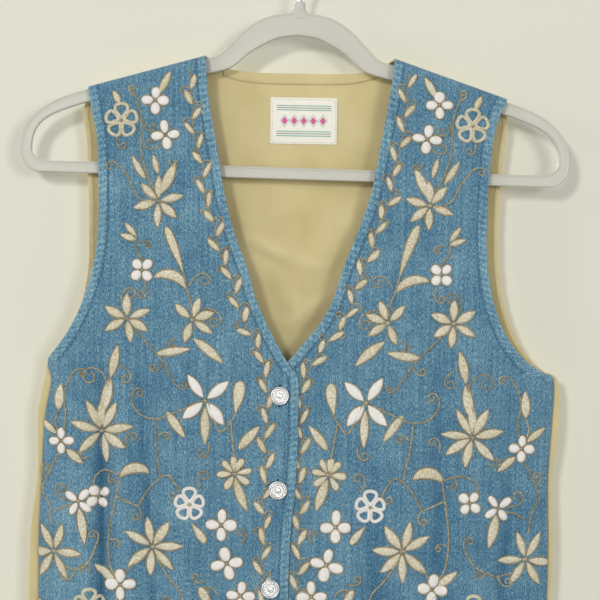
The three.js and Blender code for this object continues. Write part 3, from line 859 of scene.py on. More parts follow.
# %% [markdown]
# ## Needlework
# The flowers are satin stitch: shiny threads laid side by side over a padded shape, so each
# petal stands up in the light and ends in a crisp edge, which a finer brown thread outlines.
# The wheels are loops of thick cord, and the stems are couched cord that ends in curls. All
# of it is made flat first, as places on the cloth (how far out, how high up) with a height
# above it, and then laid on the curved front. A petal is a row of rings whose width follows
# share**base * (1 - share)**tip, so two numbers give a lance, a club or a round petal.

# %% Petals and cords
FORMS = {
    "lance": (0.95, 1.0), "leaf": (0.72, 0.95), "club": (1.2, 0.5), "round": (0.55, 0.45),
    "drop": (0.85, 0.42), "moon": (0.8, 0.8),
}
PETAL_STEPS = 13
PETAL_AROUND = 10
OUTLINE_RADIUS = 0.4
PETALS = ("x", "drop", "angle", "length", "width", "base", "tip", "bend", "white", "rise")


def heading_path(x, up, headings, lengths):
    """Paths that start at a place and follow their headings in even steps."""
    steps = headings.shape[1] - 1
    middle = (headings[:, 1:] + headings[:, :-1]) / 2
    walk = np.stack([np.cos(middle), np.sin(middle)], axis=2) * (lengths / steps)[:, None, None]
    start = np.zeros((len(x), 1, 2))
    moved = np.concatenate([start, np.cumsum(walk, axis=1)], axis=1)
    return moved + np.stack([x, up], axis=1)[:, None, :]


def petal_frame(rows, steps):
    """The middle line of each petal, its sideways direction and its half widths."""
    share = (1 - np.cos(np.linspace(0, np.pi, steps))) / 2
    angle = np.radians(rows["angle"])[:, None]
    bend = np.radians(rows["bend"])[:, None]
    fine = np.linspace(0, 1, 49)
    path = heading_path(
        rows["x"], -rows["drop"], angle + bend * (fine - 0.5), rows["length"])
    at = share * 48
    low = np.minimum(at.astype(int), 47)
    middle = path[:, low] + (path[:, low + 1] - path[:, low]) * (at - low)[None, :, None]
    heading = angle + bend * (share - 0.5)
    side = np.stack([-np.sin(heading), np.cos(heading)], axis=2)
    base, tip = rows["base"][:, None], rows["tip"][:, None]
    widest = base / (base + tip)
    top = widest**base * (1 - widest) ** tip
    swell = share**base * (1 - share) ** tip / top
    half = np.maximum(swell * rows["width"][:, None] / 2, 0.12)
    return share, middle, side, half, swell


def petal_rings(rows):
    """Rings of each petal: a dome over the cloth, closed a little below its surface."""
    share, middle, side, half, swell = petal_frame(rows, PETAL_STEPS)
    turn = np.linspace(0, 2 * np.pi, PETAL_AROUND, endpoint=False)
    across = half[:, :, None] * np.cos(turn)
    lift = rows["rise"][:, None] * (0.3 + 0.7 * swell)
    arch = np.sign(np.sin(turn)) * np.abs(np.sin(turn)) ** 0.75
    height = np.where(arch > 0, lift[:, :, None] * arch, 0.4 * arch) - 0.12
    flat = middle[:, :, None, :] + side[:, :, None, :] * across[..., None]
    points = np.concatenate([flat, height[..., None]], axis=3)
    along = np.broadcast_to((share * rows["length"][:, None])[:, :, None], across.shape)
    grain = np.stack([along, across], axis=3)
    base = np.broadcast_to(share[None, :, None], across.shape)
    rim = np.broadcast_to(np.abs(np.cos(turn)), across.shape)
    return points, grain, base, rim


def outline_paths(rows, steps=26):
    """A closed path round each petal, a thread's width outside it."""
    turn = np.linspace(0, 2 * np.pi, steps, endpoint=False)
    count = 25
    share, middle, side, half, _ = petal_frame(rows, count)
    at = (1 - np.cos(turn)) / 2
    place = np.interp(at, share, np.arange(count))
    low = np.minimum(place.astype(int), count - 2)
    mixed = (place - low)[None, :]

    def read(values):
        shape = (...,) + (None,) * (values.ndim - 2)
        return values[:, low] + (values[:, low + 1] - values[:, low]) * mixed[shape]

    reach = read(half) * np.sign(np.sin(turn) + 1e-9) + 0.34 * np.sin(turn)
    tips = np.cos(turn)[None, :, None] * -0.4
    forward = np.stack([read(side)[..., 1], -read(side)[..., 0]], axis=2)
    return read(middle) + read(side) * reach[..., None] + forward * tips


def cord_rings(paths, radius, closed=False, around=5, lift=0.2):
    """Round cords along paths on the cloth, given as rings of points."""
    if closed:
        step = np.roll(paths, -1, axis=1) - np.roll(paths, 1, axis=1)
    else:
        step = np.gradient(paths, axis=1)
    step = step / np.maximum(np.linalg.norm(step, axis=2, keepdims=True), 1e-9)
    side = np.stack([-step[..., 1], step[..., 0]], axis=2)
    turn = np.linspace(0, 2 * np.pi, around, endpoint=False) + np.pi / 2
    wide = np.broadcast_to(np.asarray(radius, dtype=float), paths.shape[:2])[..., None]
    flat = paths[:, :, None, :] + side[:, :, None, :] * (wide * np.cos(turn))[..., None]
    height = wide * np.sin(turn) + lift * wide
    points = np.concatenate([flat, height[..., None]], axis=3)
    moved = np.linalg.norm(np.diff(paths, axis=1), axis=2)
    run = np.concatenate([np.zeros((len(paths), 1)), np.cumsum(moved, axis=1)], axis=1)
    along = np.broadcast_to(run[..., None], height.shape)
    grain = np.stack([along, np.broadcast_to(turn, height.shape)], axis=3)
    return points, grain


def closed_faces(items, steps, around):
    """Faces of rings that run round a loop, so the last ring joins the first."""
    item = np.arange(items)[:, None, None] * steps * around
    step = np.arange(steps)[None, :, None]
    ahead = (step + 1) % steps
    here = np.arange(around)[None, None, :]
    there = (here + 1) % around
    rings = [step * around + here, step * around + there,
             ahead * around + there, ahead * around + here]
    return (item[..., None] + np.stack(rings, -1)).reshape(-1, 4)


print(len(FORMS), "petal forms")

# %% [markdown]
# ## Laying threads on cloth
# A layer of needlework gathers rings of petals and cords in flat places, and is sewn down in
# one go: the surface below says how deep the cloth lies at each place, and the height goes
# along its normal. The right front is the left one's mirror image, so its faces are turned
# over when it is laid.


# %% A layer of needlework
class Needlework:
    """Closed shapes on one cloth, held as flat places with a height above it.

    limits are two functions: how far out the cloth goes at a drop, and how far down it goes
    at a place across. What would lie beyond is caught in the side seam or the hem, so it
    is flattened there.
    """

    def __init__(self, side, seed, limits):
        self.side = side
        self.limits = limits
        self.draw = np.random.default_rng(seed)
        self.points, self.faces, self.grain, self.values = [], [], [], []
        self.count = 0

    def add(self, points, grain, faces, **values):
        """Adds rings of the shape (items, steps, around) and the faces over them."""
        size = points.shape[0] * points.shape[1] * points.shape[2]
        self.points.append(points.reshape(size, 3))
        self.grain.append(grain.reshape(size, 2))
        self.faces.append([rows + self.count for rows in faces])
        each = {key: np.broadcast_to(value, points.shape[:3]).ravel()
                for key, value in values.items()}
        self.values.append(each)
        self.count += size

    def petals(self, rows, outlined, threads):
        """Satin petals in this layer, and their outlines in a layer of threads."""
        rows = {key: np.asarray(value, dtype=float) for key, value in rows.items()}
        points, grain, base, rim = petal_rings(rows)
        tone = self.draw.uniform(0, 1, len(points))[:, None, None]
        faces = ring_faces(len(points), PETAL_STEPS, PETAL_AROUND)
        self.add(points, grain, faces, tone=tone, base=base, rim=rim,
                 white=rows["white"][:, None, None])
        if outlined:
            threads.cords(outline_paths(rows), OUTLINE_RADIUS, closed=True)

    def cords(self, paths, radius, closed=False, around=5, white=0.0):
        """Cords along paths, each with a tone of its own."""
        points, grain = cord_rings(paths, radius, closed, around)
        items, steps = points.shape[:2]
        if closed:
            faces = [closed_faces(items, steps, around)]
        else:
            faces = ring_faces(items, steps, around)
        tone = self.draw.uniform(0, 1, items)[:, None, None]
        self.add(points, grain, faces, tone=tone, base=1.0, rim=0.0, white=white)

    def sew(self, name, depth_of, material):
        """Lays everything on the cloth whose outside is at y = depth_of(x, drop)."""
        flat = np.concatenate(self.points)
        out, up, height = flat.T
        outmost, lowest = self.limits
        past = np.maximum(out - outmost(-up), -up - lowest(out))
        height = height * (1 - 0.8 * np.clip(past / 1.5, 0, 1))
        out = np.minimum(out, outmost(-up))
        x, up = out * self.side, np.maximum(up, -lowest(out))
        step = 0.5
        y = depth_of(x, -up)
        slope_x = (depth_of(x + step, -up) - depth_of(x - step, -up)) / (2 * step)
        slope_up = (depth_of(x, -up - step) - depth_of(x, -up + step)) / (2 * step)
        normal = np.stack([slope_x, -np.ones(len(x)), slope_up], axis=1)
        normal = normal / np.linalg.norm(normal, axis=1, keepdims=True)
        points = np.stack([x, y, NECK_LEVEL + up], axis=1) + normal * height[:, None]
        faces = [rows for group in self.faces for rows in group]
        faces = [rows[:, ::-1] for rows in faces] if self.side < 0 else faces
        joined = {key: np.concatenate([each[key] for each in self.values])
                  for key in self.values[0]}
        grain = {"grain": np.concatenate(self.grain)}
        return add_mesh(name, points, faces, material, grain, joined)


FAR_AWAY = 999.0
UNLIMITED = (lambda drop: 0 * drop + FAR_AWAY, lambda out: 0 * out + FAR_AWAY)


# %% [markdown]
# ## Thread finishes
# Satin stitch is fine parallel threads across the petal, so its bump is a comb of lines, and
# it shines softly. The cream silk varies from petal to petal, with brown flecks near the
# flower's middle where the outline thread comes through. Light on the strands is painted on
# as highlights, and the gaps between the strands are painted darker as shade. The cords are
# twisted, so theirs is a slanting comb.


# %% Threads
def satin_finish():
    silk = Finish("satin_stitch", Roughness=0.5)
    silk.shader.inputs["Sheen Weight"].default_value = 0.15
    silk.shader.inputs["Specular IOR Level"].default_value = 0.4
    grain, along, across = silk.uv("grain")
    tone = silk.attribute("tone")
    white = silk.attribute("white")
    base = silk.attribute("base")
    patchy = silk.noise(silk.object_place(), 0.30, 3.0, 0.6)
    fleck = silk.noise(silk.object_place(), 1.3, 2.0, 0.7)
    strand = silk.node("ShaderNodeMapping", {}, {"Vector": grain, "Scale": (1.0, 0.16, 1.0)})
    strands = silk.noise(strand, 1.9, 2.0, 0.65)
    comb = ((along + across * 0.3 + patchy * 1.5) * 7.5).math("SINE") * 0.5 + 0.5
    cream = silk.mix(tone, colour(236, 231, 208), colour(222, 214, 182))
    cream = silk.mix((patchy * 2.2 - 0.85).clamped() * 0.5, cream, colour(200, 190, 152))
    pure = silk.mix((fleck * 1.6 - 0.4).clamped() * 0.3, colour(252, 250, 247),
                    colour(220, 212, 198))
    thread = silk.mix(white, cream, pure)
    # Painted shade: the gaps between the strands are darkened.
    painted_gap_shade = ((0.49 - strands) * 6.0).clamped() * (0.8 - white * 0.55)
    thread = silk.mix(painted_gap_shade, thread, colour(166, 150, 112))
    # Painted highlight: light on the strands is painted as pale streaks.
    painted_shine = ((strands - 0.56) * 6.0).clamped() * 0.7
    thread = silk.mix(painted_shine, thread, colour(250, 246, 232))
    mottle = silk.noise(silk.object_place(), 0.62, 2.0, 0.7)
    thread = silk.mix(((mottle - 0.52) * 6.0).clamped() * (0.5 - white * 0.32), thread,
                      colour(158, 144, 108))
    thread = silk.mix(((0.46 - mottle) * 6.0).clamped() * 0.6, thread, colour(252, 249, 238))
    near = (1.0 - base.step(0.05, 0.5)) * ((fleck - 0.47) * 5.0).clamped()
    thread = silk.mix(near * (1.0 - white * 0.55) * 0.6, thread, colour(142, 128, 94))
    rim = silk.attribute("rim").step(0.72, 1.0)
    thread = silk.mix(rim * (0.55 - white * 0.3), thread, colour(142, 130, 98))
    shade = silk.mix(comb * 0.14, thread, colour(164, 152, 122))
    silk.finish(Base_Color=shade, Normal=silk.bump(comb * 0.4 + strands * 1.2, 0.45, 1.0),
                Roughness=0.42 + fleck * 0.2)
    return silk.material


def cord_finish():
    silk = Finish("brown_thread", Roughness=0.62)
    silk.shader.inputs["Specular IOR Level"].default_value = 0.3
    _, along, turn = silk.uv("grain")
    tone = silk.attribute("tone")
    patchy = silk.noise(silk.object_place(), 0.45, 2.0, 0.6)
    twist = ((along * 3.6 + turn + patchy * 2.0)).math("SINE") * 0.5 + 0.5
    light = silk.mix((tone * 0.3 + patchy * 2.2 - 0.85).clamped(), colour(130, 118, 88),
                     colour(206, 196, 164))
    brown = silk.mix(twist * 0.4, light, colour(120, 108, 80))
    silk.finish(Base_Color=brown, Normal=silk.bump(twist, 0.3, 0.8))
    return silk.material


satin = satin_finish()
brown_thread = cord_finish()
print("threads ready")

# %% [markdown]
# ## The pattern
# Both fronts carry the same drawing, mirrored. The tables give each motif by its kind, its
# place out from the middle, its drop and its size. The right front laps over the left one,
# so the same drawing lies further out there, less towards its side seam.

# %% Tables of the pattern
# x, drop, reach of a petal, its width, white or cream, directions of the petals
STARS = (
    (109, 119, 21, 8.2, 0, (92, 45, 340, 268, 222, 165)),
    (130, 216, 20, 8.6, 0, (90, 28, 330, 265, 210, 160)),
    (76, 216, 19, 8.2, 0, (110, 45, 290, 215, 160)),
    (59, 282, 25, 9.4, 1, (137, 55, 318, 232)),
    (147, 309, 26, 8.6, 0, (92, 62, 15, 315, 258, 212, 172, 120)),
    (91, 403, 25, 8.2, 0, (80, 30, 320, 270, 222, 178, 122)),
    (193, 409, 24, 8.0, 0, (105, 60, 352, 300, 240, 180)),
    (60, 478, 24, 8.2, 0, (98, 48, 355, 305, 255, 200, 148)),
    (152, 492, 25, 8.6, 0, (90, 40, 348, 298, 250, 205, 138)),
    (96, 541, 22, 8.2, 1, (125, 50, 318, 232)),
    (192, 528, 22, 8.0, 0, (96, 40, 340, 285, 225, 170)),
)
# x, drop, reach, width, direction of the first petal
FOURS = (
    (115.5, 36, 11, 8.6, 92), (106, 64.5, 12, 8.2, 82), (119.5, 176, 10.5, 8.6, 45),
    (36, 384, 13, 9.4, 92), (29, 415, 13, 9.2, 75), (17, 441, 12, 8.6, 92),
    (145.5, 363, 10.2, 8.4, 52), (169.5, 367, 12.5, 7, 35), (188.5, 318, 10.5, 8.2, 88),
    (116, 434, 12.5, 9.4, 85), (98, 468, 12, 9, 60), (186, 462, 11.5, 8.6, 50),
    (28, 500, 12, 9, 80), (115, 512, 12, 9, 45), (162, 540, 12, 9, 88), (50, 545, 12, 9, 70),
)
# x, drop, half width, half height, white or cream
WHEELS = ((143, 53, 13.2, 14.2, 0), (64, 367.5, 11.8, 13.6, 1), (150, 452, 12.5, 13.5, 0),
          (66, 522, 12.0, 13.0, 1))
# x, drop, direction, length, width, form, bend
LEAVES = (
    (112.7, 30.7, 119, 20, 7.5, "lance", 0), (145, 39, 66, 12, 6.5, "leaf", 0),
    (107.5, 113, 113, 28, 9.6, "lance", 0), (110.5, 96.5, 74, 17, 5.6, "lance", 0),
    (120.5, 101, 57, 22, 6.2, "lance", 8), (84.6, 179, 68.5, 44, 9, "club", -6),
    (82.7, 190.4, 18, 31, 9.4, "moon", -95), (126, 148, 52, 14.6, 5.6, "lance", 0),
    (126.5, 151, 18, 14, 6, "leaf", 0), (73.5, 231.5, 220, 31, 9.6, "lance", 10),
    (102.4, 244.5, 170, 26, 10, "leaf", 0), (141, 265, 101, 28, 9.4, "lance", 0),
    (141, 265, 283, 30, 9.4, "lance", 0), (191.5, 292, 93, 21, 9.6, "leaf", 0),
    (58.5, 288, 269, 30, 9.2, "lance", 0), (33.4, 293, 97, 27, 11, "club", 0),
    (27.8, 321, 131, 24, 9, "leaf", 0), (89.5, 292, 235, 27, 8.6, "leaf", 0),
    (28.5, 345, 250, 28, 9.4, "lance", 0), (60.5, 383, 230, 19, 7.6, "club", 0),
    (123, 346, 172, 28, 10, "moon", 105), (168, 373, 258, 28, 9.6, "leaf", 0),
    (193, 312, 38, 19, 7, "leaf", 0), (183, 325, 220, 18, 8, "leaf", 0),
    (121, 431, 38, 20, 8, "leaf", 0), (40, 455, 62, 22, 8.6, "club", 0),
    (128, 470, 150, 26, 9.4, "moon", 100), (176, 474, 250, 24, 9, "leaf", 0),
    (90, 486, 300, 26, 9, "leaf", 0), (38, 516, 65, 24, 9, "lance", 0),
    (136, 524, 230, 27, 9.4, "lance", 8), (180, 500, 75, 24, 8.6, "club", 0),
    (84, 505, 200, 18, 8, "leaf", 0), (20, 530, 290, 24, 9, "leaf", 0),
    (130, 545, 20, 24, 8.6, "lance", 0), (28, 556, 45, 16, 7, "leaf", 0),
)
# x, drop, reach of a petal, its width, directions of the petals
DAISIES = ((29.5, 341.5, 14, 6.6, (85, 45, 355, 300, 215, 168, 118)),
           (205, 463, 13, 6.2, (90, 40, 0, 310, 255, 215, 170, 130)))
# Stems, as places out from the middle and down
STEMS = (
    ((135, 26), (127, 48), (126, 75), (121, 93), (112, 111)),
    ((113, 121), (126, 116), (134, 102), (143, 90)),
    ((85, 178), (82, 190), (78, 200), (76, 212)), ((126, 149), (125, 160), (119, 168)),
    ((121, 226), (104, 243), (96, 252), (85, 269)),
    ((141, 265), (148, 294), (147, 306)), ((62, 283), (84, 293), (98, 298), (111, 295),
                                           (119, 286)),
    ((98, 298), (96, 319), (90, 346)), ((90, 346), (83, 344), (77, 351)),
    ((90, 346), (99, 356), (106, 370)), ((106, 370), (114, 367), (125, 362)),
    ((123, 346), (126, 366), (129, 393), (126, 418), (118, 430)),
    ((123, 345), (139, 341), (150, 346), (153, 355)),
    ((180, 262), (187, 279), (185, 297), (187, 312)), ((191, 292), (194, 302), (191, 312)),
    ((189, 326), (197, 341), (204, 358), (198, 370), (195, 388)),
    ((172, 371), (182, 371), (192, 376)), ((184, 420), (168, 423), (151, 415), (143, 403)),
    ((87, 411), (77, 427), (66, 440), (61, 458)), ((99, 410), (108, 419), (114, 426)),
    ((33, 293), (37, 300), (45, 307), (56, 284)), ((36, 300), (33, 318), (30, 332)),
    ((116, 444), (128, 456), (130, 470), (140, 484)), ((98, 478), (92, 490), (86, 504),
                                                       (72, 516)),
    ((186, 472), (178, 486), (160, 492)), ((115, 522), (104, 532), (98, 540)),
    ((28, 510), (36, 524), (48, 536)), ((152, 500), (150, 520), (158, 534)),
)
# Curls: x, drop, direction, length, and how far round the end turns
CURLS = (
    (131, 33, 20, 22, 420), (125, 52, 262, 28, -430), (146, 67, 275, 24, -430),
    (143, 90, 35, 24, -440), (109, 72, 320, 26, 330), (80, 189, 115, 42, 450),
    (122, 153, 165, 20, 420), (116, 186, 248, 30, 440), (135, 206, 82, 38, 440),
    (66, 206, 192, 42, 450), (97, 253, 300, 24, 430), (85, 269, 228, 22, -430),
    (131, 255, 212, 32, 430), (142, 276, 78, 58, -440), (180, 262, 140, 26, 430),
    (119, 286, 82, 32, 440), (95, 312, 140, 22, 430), (77, 351, 238, 30, 440),
    (106, 370, 240, 26, 440), (133, 343, 300, 20, -420), (176, 366, 0, 38, 430),
    (143, 403, 112, 28, -430), (56, 355, 62, 34, 440), (53, 317, 262, 30, 440),
    (127, 398, 165, 20, 430), (36, 441, 60, 26, -430), (17, 398, 125, 24, -420),
    (200, 349, 40, 26, 430), (103, 84, 250, 20, -430), (170, 423, 290, 30, 430),
    (88, 232, 340, 18, -420), (160, 330, 330, 24, 430), (120, 322, 80, 30, 440),
    (46, 430, 340, 26, 430), (150, 425, 70, 22, -430), (76, 455, 40, 26, 430),
    (134, 512, 170, 26, -430), (172, 512, 300, 26, 430), (78, 500, 60, 24, -430),
    (46, 500, 120, 26, 430), (110, 486, 30, 28, -440), (196, 490, 120, 24, 430),
    (140, 556, 150, 24, -430), (78, 556, 60, 22, 430), (208, 505, 230, 22, 430),
)
print(len(STARS) + len(FOURS) + len(WHEELS) + len(DAISIES), "flowers in the drawing")

# %% [markdown]
# A shift moves the drawing out on the right front. The vine isn't part of the drawing: it
# follows each front's own edge, about 16 mm inside it, and carries a leaf to one side and a
# small curl to the other, turn about.


# %% Sewing the pattern
def drawing_shift(front, x, drop):
    """How much further out a motif lies on the lapping front."""
    if not front["lapped"]:
        return 0.0 * np.asarray(x, dtype=float)
    middle = np.interp(drop, (0, 50, 219, 283, 366, 402, 560), (3, 3, 9, 14, 20, 23.5, 25))
    side = smooth_step(x, 118.0, 190.0)
    return middle * (1 - side) + 3.0 * side


def smooth_path(places, count):
    """A smooth path through a few places, read as the rows of a table are."""
    places = np.array(places, dtype=float)
    at = np.linspace(0, len(places) - 1, count)
    return np.stack([read_rows(places[:, 0], at), -read_rows(places[:, 1], at)], axis=1)


def petal_rows(draw, rows):
    """Columns of petals, each with a little of the hand's unevenness."""
    columns = dict(zip(PETALS, np.array(rows, dtype=float).T))
    count = len(rows)
    columns["angle"] = columns["angle"] + draw.normal(0, 2.0, count)
    columns["length"] = columns["length"] * draw.normal(1, 0.03, count)
    slim = np.where(columns["white"] > 0.5, 0.95, 0.86)
    columns["width"] = columns["width"] * slim * draw.normal(1, 0.07, count)
    columns["bend"] = columns["bend"] + draw.normal(0, 7.0, count)
    return columns


def flower_petals(front):
    """Rows of all the petals and leaves of the drawing."""
    rows = []

    def petal(x, drop, away, angle, length, width, form, bend, white, rise):
        out = x + float(drawing_shift(front, x, drop))
        lean = math.radians(angle)
        start = (out + away * math.cos(lean), drop - away * math.sin(lean))
        rows.append((*start, angle, length, width, *FORMS[form], bend, white, rise))

    for x, drop, reach, width, white, angles in STARS:
        for angle in angles:
            petal(x, drop, 2.6, angle, reach - 2.6, width, "lance", 0, white, 1.25)
    for x, drop, reach, width, angles in DAISIES:
        for angle in angles:
            petal(x, drop, 2.2, angle, reach - 2.2, width, "drop", 0, 0, 1.15)
    for x, drop, reach, width, turn in FOURS:
        for angle in (turn, turn + 90, turn + 180, turn + 270):
            petal(x, drop, 1.7, angle, reach - 1.7, width, "round", 0, 1, 1.45)
    for x, drop, angle, length, width, form, bend in LEAVES:
        petal(x, drop, 0.0, angle, length, width, form, bend, 0, 1.2)
    return rows


def knots(front):
    """Small round knots in the middle of each flower."""
    rows = []
    for table_rows, size in ((STARS, 4.4), (FOURS, 2.8), (DAISIES, 4.0), (WHEELS, 4.6)):
        for row in table_rows:
            x = row[0] + float(drawing_shift(front, row[0], row[1]))
            rise = 2.4 if table_rows is WHEELS else 1.1
            rows.append((x - size / 2, row[1], 0, size, size, 0.5, 0.5, 0, 0, rise))
    return rows


WHEEL_LOBES = 5
WHEEL_CORD = 1.5
STEM_CORD = 0.8
VINE_CORD = 0.38
VINE_SWAY = 0.6
VINE_INSET = 15.5
LEAF_EVERY = 10


def wheel_cords(front, white):
    """The petals of the wheels: closed teardrop loops whose sides touch their neighbours'.

    A loop leaves the middle, widens to the width of its share of the circle and comes
    back. The distance out is half of 1 - cos(turn) and the swelling aside is sin(turn).
    """
    turn = np.linspace(0, 2 * np.pi, 40, endpoint=False)
    out = (1 - np.cos(turn)) / 2
    loops = []
    for x, drop, wide, high, is_white in WHEELS:
        if is_white != white:
            continue
        middle = x + float(drawing_shift(front, x, drop))
        for angle in 2 * np.pi * np.arange(WHEEL_LOBES) / WHEEL_LOBES + 0.3:
            reach = 0.98 / math.hypot(math.cos(angle) / wide, math.sin(angle) / high)
            aside = 0.53 * reach * np.sin(turn) * out**0.7
            along = 1.6 + (reach - 1.6) * out
            across = np.cos(angle) * along - np.sin(angle) * aside
            up = np.sin(angle) * along + np.cos(angle) * aside
            loops.append(np.stack([middle + across, up - drop], axis=1))
    return np.array(loops)


def stem_paths(front):
    """The drawing's long stems, moved out with it."""
    paths = np.array([smooth_path(stem, 44) for stem in STEMS])
    paths[..., 0] += drawing_shift(front, paths[..., 0], -paths[..., 1])
    return paths


def curl_paths(rows, steps=40, power=2.1):
    """Tendrils: nearly straight at first, and turning faster and faster to the end."""
    x, drop, angle, length, turn = np.array(rows, dtype=float).T
    share = np.linspace(0, 1, steps)
    headings = np.radians(angle)[:, None] + np.radians(turn)[:, None] * share**power
    return heading_path(x, -drop, headings, length)


def vine_route(front):
    """The vine's path beside the edge, its places even along it, from the hem up."""
    drop = np.linspace(554, 9, 600)
    edge = np.interp(drop, front["inner_drop"], front["inner"])
    lean = np.gradient(edge, drop)
    beside = edge + VINE_INSET * np.hypot(1, lean)
    straight = 22.0 if front["lapped"] else 6.0
    top = np.interp(drop, (9, 40), (-4.0, 0.0))
    out = straight + 4.0 * np.logaddexp(0, (beside - straight) / 4.0) + top
    out = out + 1.0 * np.sin(drop / 8.0)
    moved = np.concatenate([[0], np.cumsum(np.hypot(np.diff(out), np.diff(drop)))])
    even = np.arange(0, moved[-1], 1.24)
    return np.stack([np.interp(even, moved, out), -np.interp(even, moved, drop)], axis=1)


def vine_parts(front, draw):
    """The vine's path, leaves and curls: a leaf to one side and a curl to the other, in turn."""
    route = vine_route(front)
    step = np.gradient(route, axis=0)
    heading = np.degrees(np.arctan2(step[:, 1], step[:, 0]))
    leaves, curls = [], []
    for turn, at in enumerate(range(6, len(route) - 8, LEAF_EVERY)):
        side = 1 if turn % 2 else -1
        x, up = route[at]
        lean = heading[at] + side * draw.uniform(20, 36)
        length = draw.uniform(11.5, 14.5)
        leaves.append((x, -up, lean, length, 5.4, 0.8, 0.7, 0, 0, 1.1))
        other = heading[at] - side * draw.uniform(50, 75)
        curls.append((x, -up, other, draw.uniform(15, 20), -side * draw.uniform(400, 450)))
    return route, leaves, curls


def depth_under(front):
    """The outside of a front as a depth over places, for what is laid on it."""
    low = front["armpit"]

    def depth_of(x, drop):
        half = np.interp(drop, front["outer_drop"][low:], front["outer"][low:])
        return front_y(front, x, drop, np.maximum(half, np.abs(x) + 0.5))

    return depth_of


def cloth_limits(front):
    """How far out and how far down a front's cloth goes, just short of its edges."""
    x, hem = front_outline(front, np.linspace(0, 1, 120), np.full(120, float(LAST)))
    return (lambda drop: np.interp(drop, front["outer_drop"], front["outer"]) - 0.6,
            lambda out: np.interp(out, x * front["side"], hem) - 0.8)


needlework = {}
for front, seed in ((RIGHT, 11), (LEFT, 12)):
    petals = Needlework(front["side"], seed, cloth_limits(front))
    threads = Needlework(front["side"], seed + 50, cloth_limits(front))
    route, vine_leaves, vine_curls = vine_parts(front, petals.draw)
    drawn = petal_rows(petals.draw, flower_petals(front) + vine_leaves)
    petals.petals(drawn, True, threads)
    for white in (0, 1):
        petals.cords(wheel_cords(front, white), WHEEL_CORD, closed=True, around=8, white=white)
    moved_curls = [(x + float(drawing_shift(front, x, drop)), drop, *rest)
                   for x, drop, *rest in CURLS]
    taper = np.interp(np.linspace(0, 1, 40), (0, 0.9, 1), (0.78, 0.7, 0.5))
    threads.cords(curl_paths(moved_curls), taper)
    threads.cords(curl_paths(vine_curls), taper * 0.8)
    threads.cords(stem_paths(front), STEM_CORD)
    sway = VINE_SWAY * np.sin(np.arange(len(route)) * 0.95)[:, None]
    aside = np.gradient(route, axis=0)[:, ::-1] * (-1, 1)
    aside = aside / np.linalg.norm(aside, axis=1, keepdims=True)
    threads.cords(np.stack([route + sway * aside, route - sway * aside]), VINE_CORD)
    middles = petal_rows(threads.draw, knots(front))
    threads.petals(middles, False, threads)
    name = front["name"]
    depth = depth_under(front)
    needlework[name] = [petals.sew("satin_petals_" + name, depth, satin),
                        threads.sew("stem_threads_" + name, depth, brown_thread)]

# %% [markdown]
# ## Seams and buttonholes
# The turned edges are held by a line of topstitching in blue thread, which sits down in its
# groove. A stitch is a tiny petal: one row for each, a thread's thickness high. The four
# upright buttonholes of the lapping front are bound with a loop of the same thread. The slit
# in each isn't cut: a thin dark strip on the cloth is its painted shadow.


# %% Topstitching and buttonholes
def thread_finish(name, dark, light):
    """A plain sewing thread with a slanting twist."""
    strand = Finish(name, Roughness=0.7)
    _, along, turn = strand.uv("grain")
    tone = strand.attribute("tone")
    twist = (along * 5.0 + turn * 2.0).math("SINE") * 0.5 + 0.5
    shade = strand.mix((twist * 0.5 + tone * 0.5).clamped(), dark, light)
    strand.finish(Base_Color=shade, Normal=strand.bump(twist, 0.15, 0.7))
    return strand.material


blue_thread = thread_finish("blue_thread", colour(70, 108, 132), colour(128, 164, 182))
STITCH = 2.3
STITCH_STEP = 3.3


def stitch_rows(route, length=STITCH, step=STITCH_STEP, width=0.75, rise=0.5):
    """A row for each stitch along a route of (out, drop) places."""
    moved = np.concatenate([[0], np.cumsum(np.hypot(*np.diff(route, axis=0).T))])
    starts = np.arange(1.0, moved[-1] - length, step)
    begin, end = (np.stack([np.interp(starts + shift, moved, route[:, axis])
                            for axis in (0, 1)], axis=1) for shift in (0.0, length))
    angle = np.degrees(np.arctan2(begin[:, 1] - end[:, 1], end[:, 0] - begin[:, 0]))
    count = len(starts)
    plain = {"length": length, "width": width, "base": 0.4, "tip": 0.4, "bend": 0,
             "white": 0, "rise": rise}
    rows = {"x": begin[:, 0], "drop": begin[:, 1], "angle": angle}
    rows.update({key: np.full(count, float(value)) for key, value in plain.items()})
    return rows


def edge_route(front, edge, first, last):
    """The line of stitches inside the neck or arm edge of a front."""
    section = np.linspace(first, last, 400)
    width = read_rows(front["outer"], section) - read_rows(front["inner"], section)
    share = BAND / (width * slant(front, edge, section))
    x, drop = front_outline(front, share if edge == "inner" else 1 - share, section)
    return np.stack([x * front["side"], drop], axis=1)


def hem_route(front):
    """The line of stitches above the hem of a front."""
    across = np.linspace(0.03, 0.99, 300)
    ends = [front_outline(front, across, np.full(300, at)) for at in (LAST - 0.1, LAST)]
    spacing = np.hypot(ends[1][0] - ends[0][0], ends[1][1] - ends[0][1]) * 10
    x, drop = front_outline(front, across, LAST - BAND / spacing)
    return np.stack([x * front["side"], drop], axis=1)


def buttonhole_loops():
    """Rounded upright slots round the button places, as closed paths."""
    turn = np.linspace(0, 2 * np.pi, 48, endpoint=False)
    wide, high = 1.9, 10.0
    across = wide * np.sign(np.cos(turn)) * np.abs(np.cos(turn)) ** 0.6
    up = high * np.sign(np.sin(turn)) * np.abs(np.sin(turn)) ** 0.6
    return np.array([np.stack([-x + across, up - drop], axis=1) for x, drop in BUTTONS])


# Painted shadow: the dark colour of the strips that stand for the buttonhole slits.
slit_dark = Finish("slit_shadow", Roughness=0.95)
slit_dark.finish(Base_Color=slit_dark.mix(
    slit_dark.noise(slit_dark.object_place(), 1.0), colour(24, 36, 48), colour(48, 66, 80)))

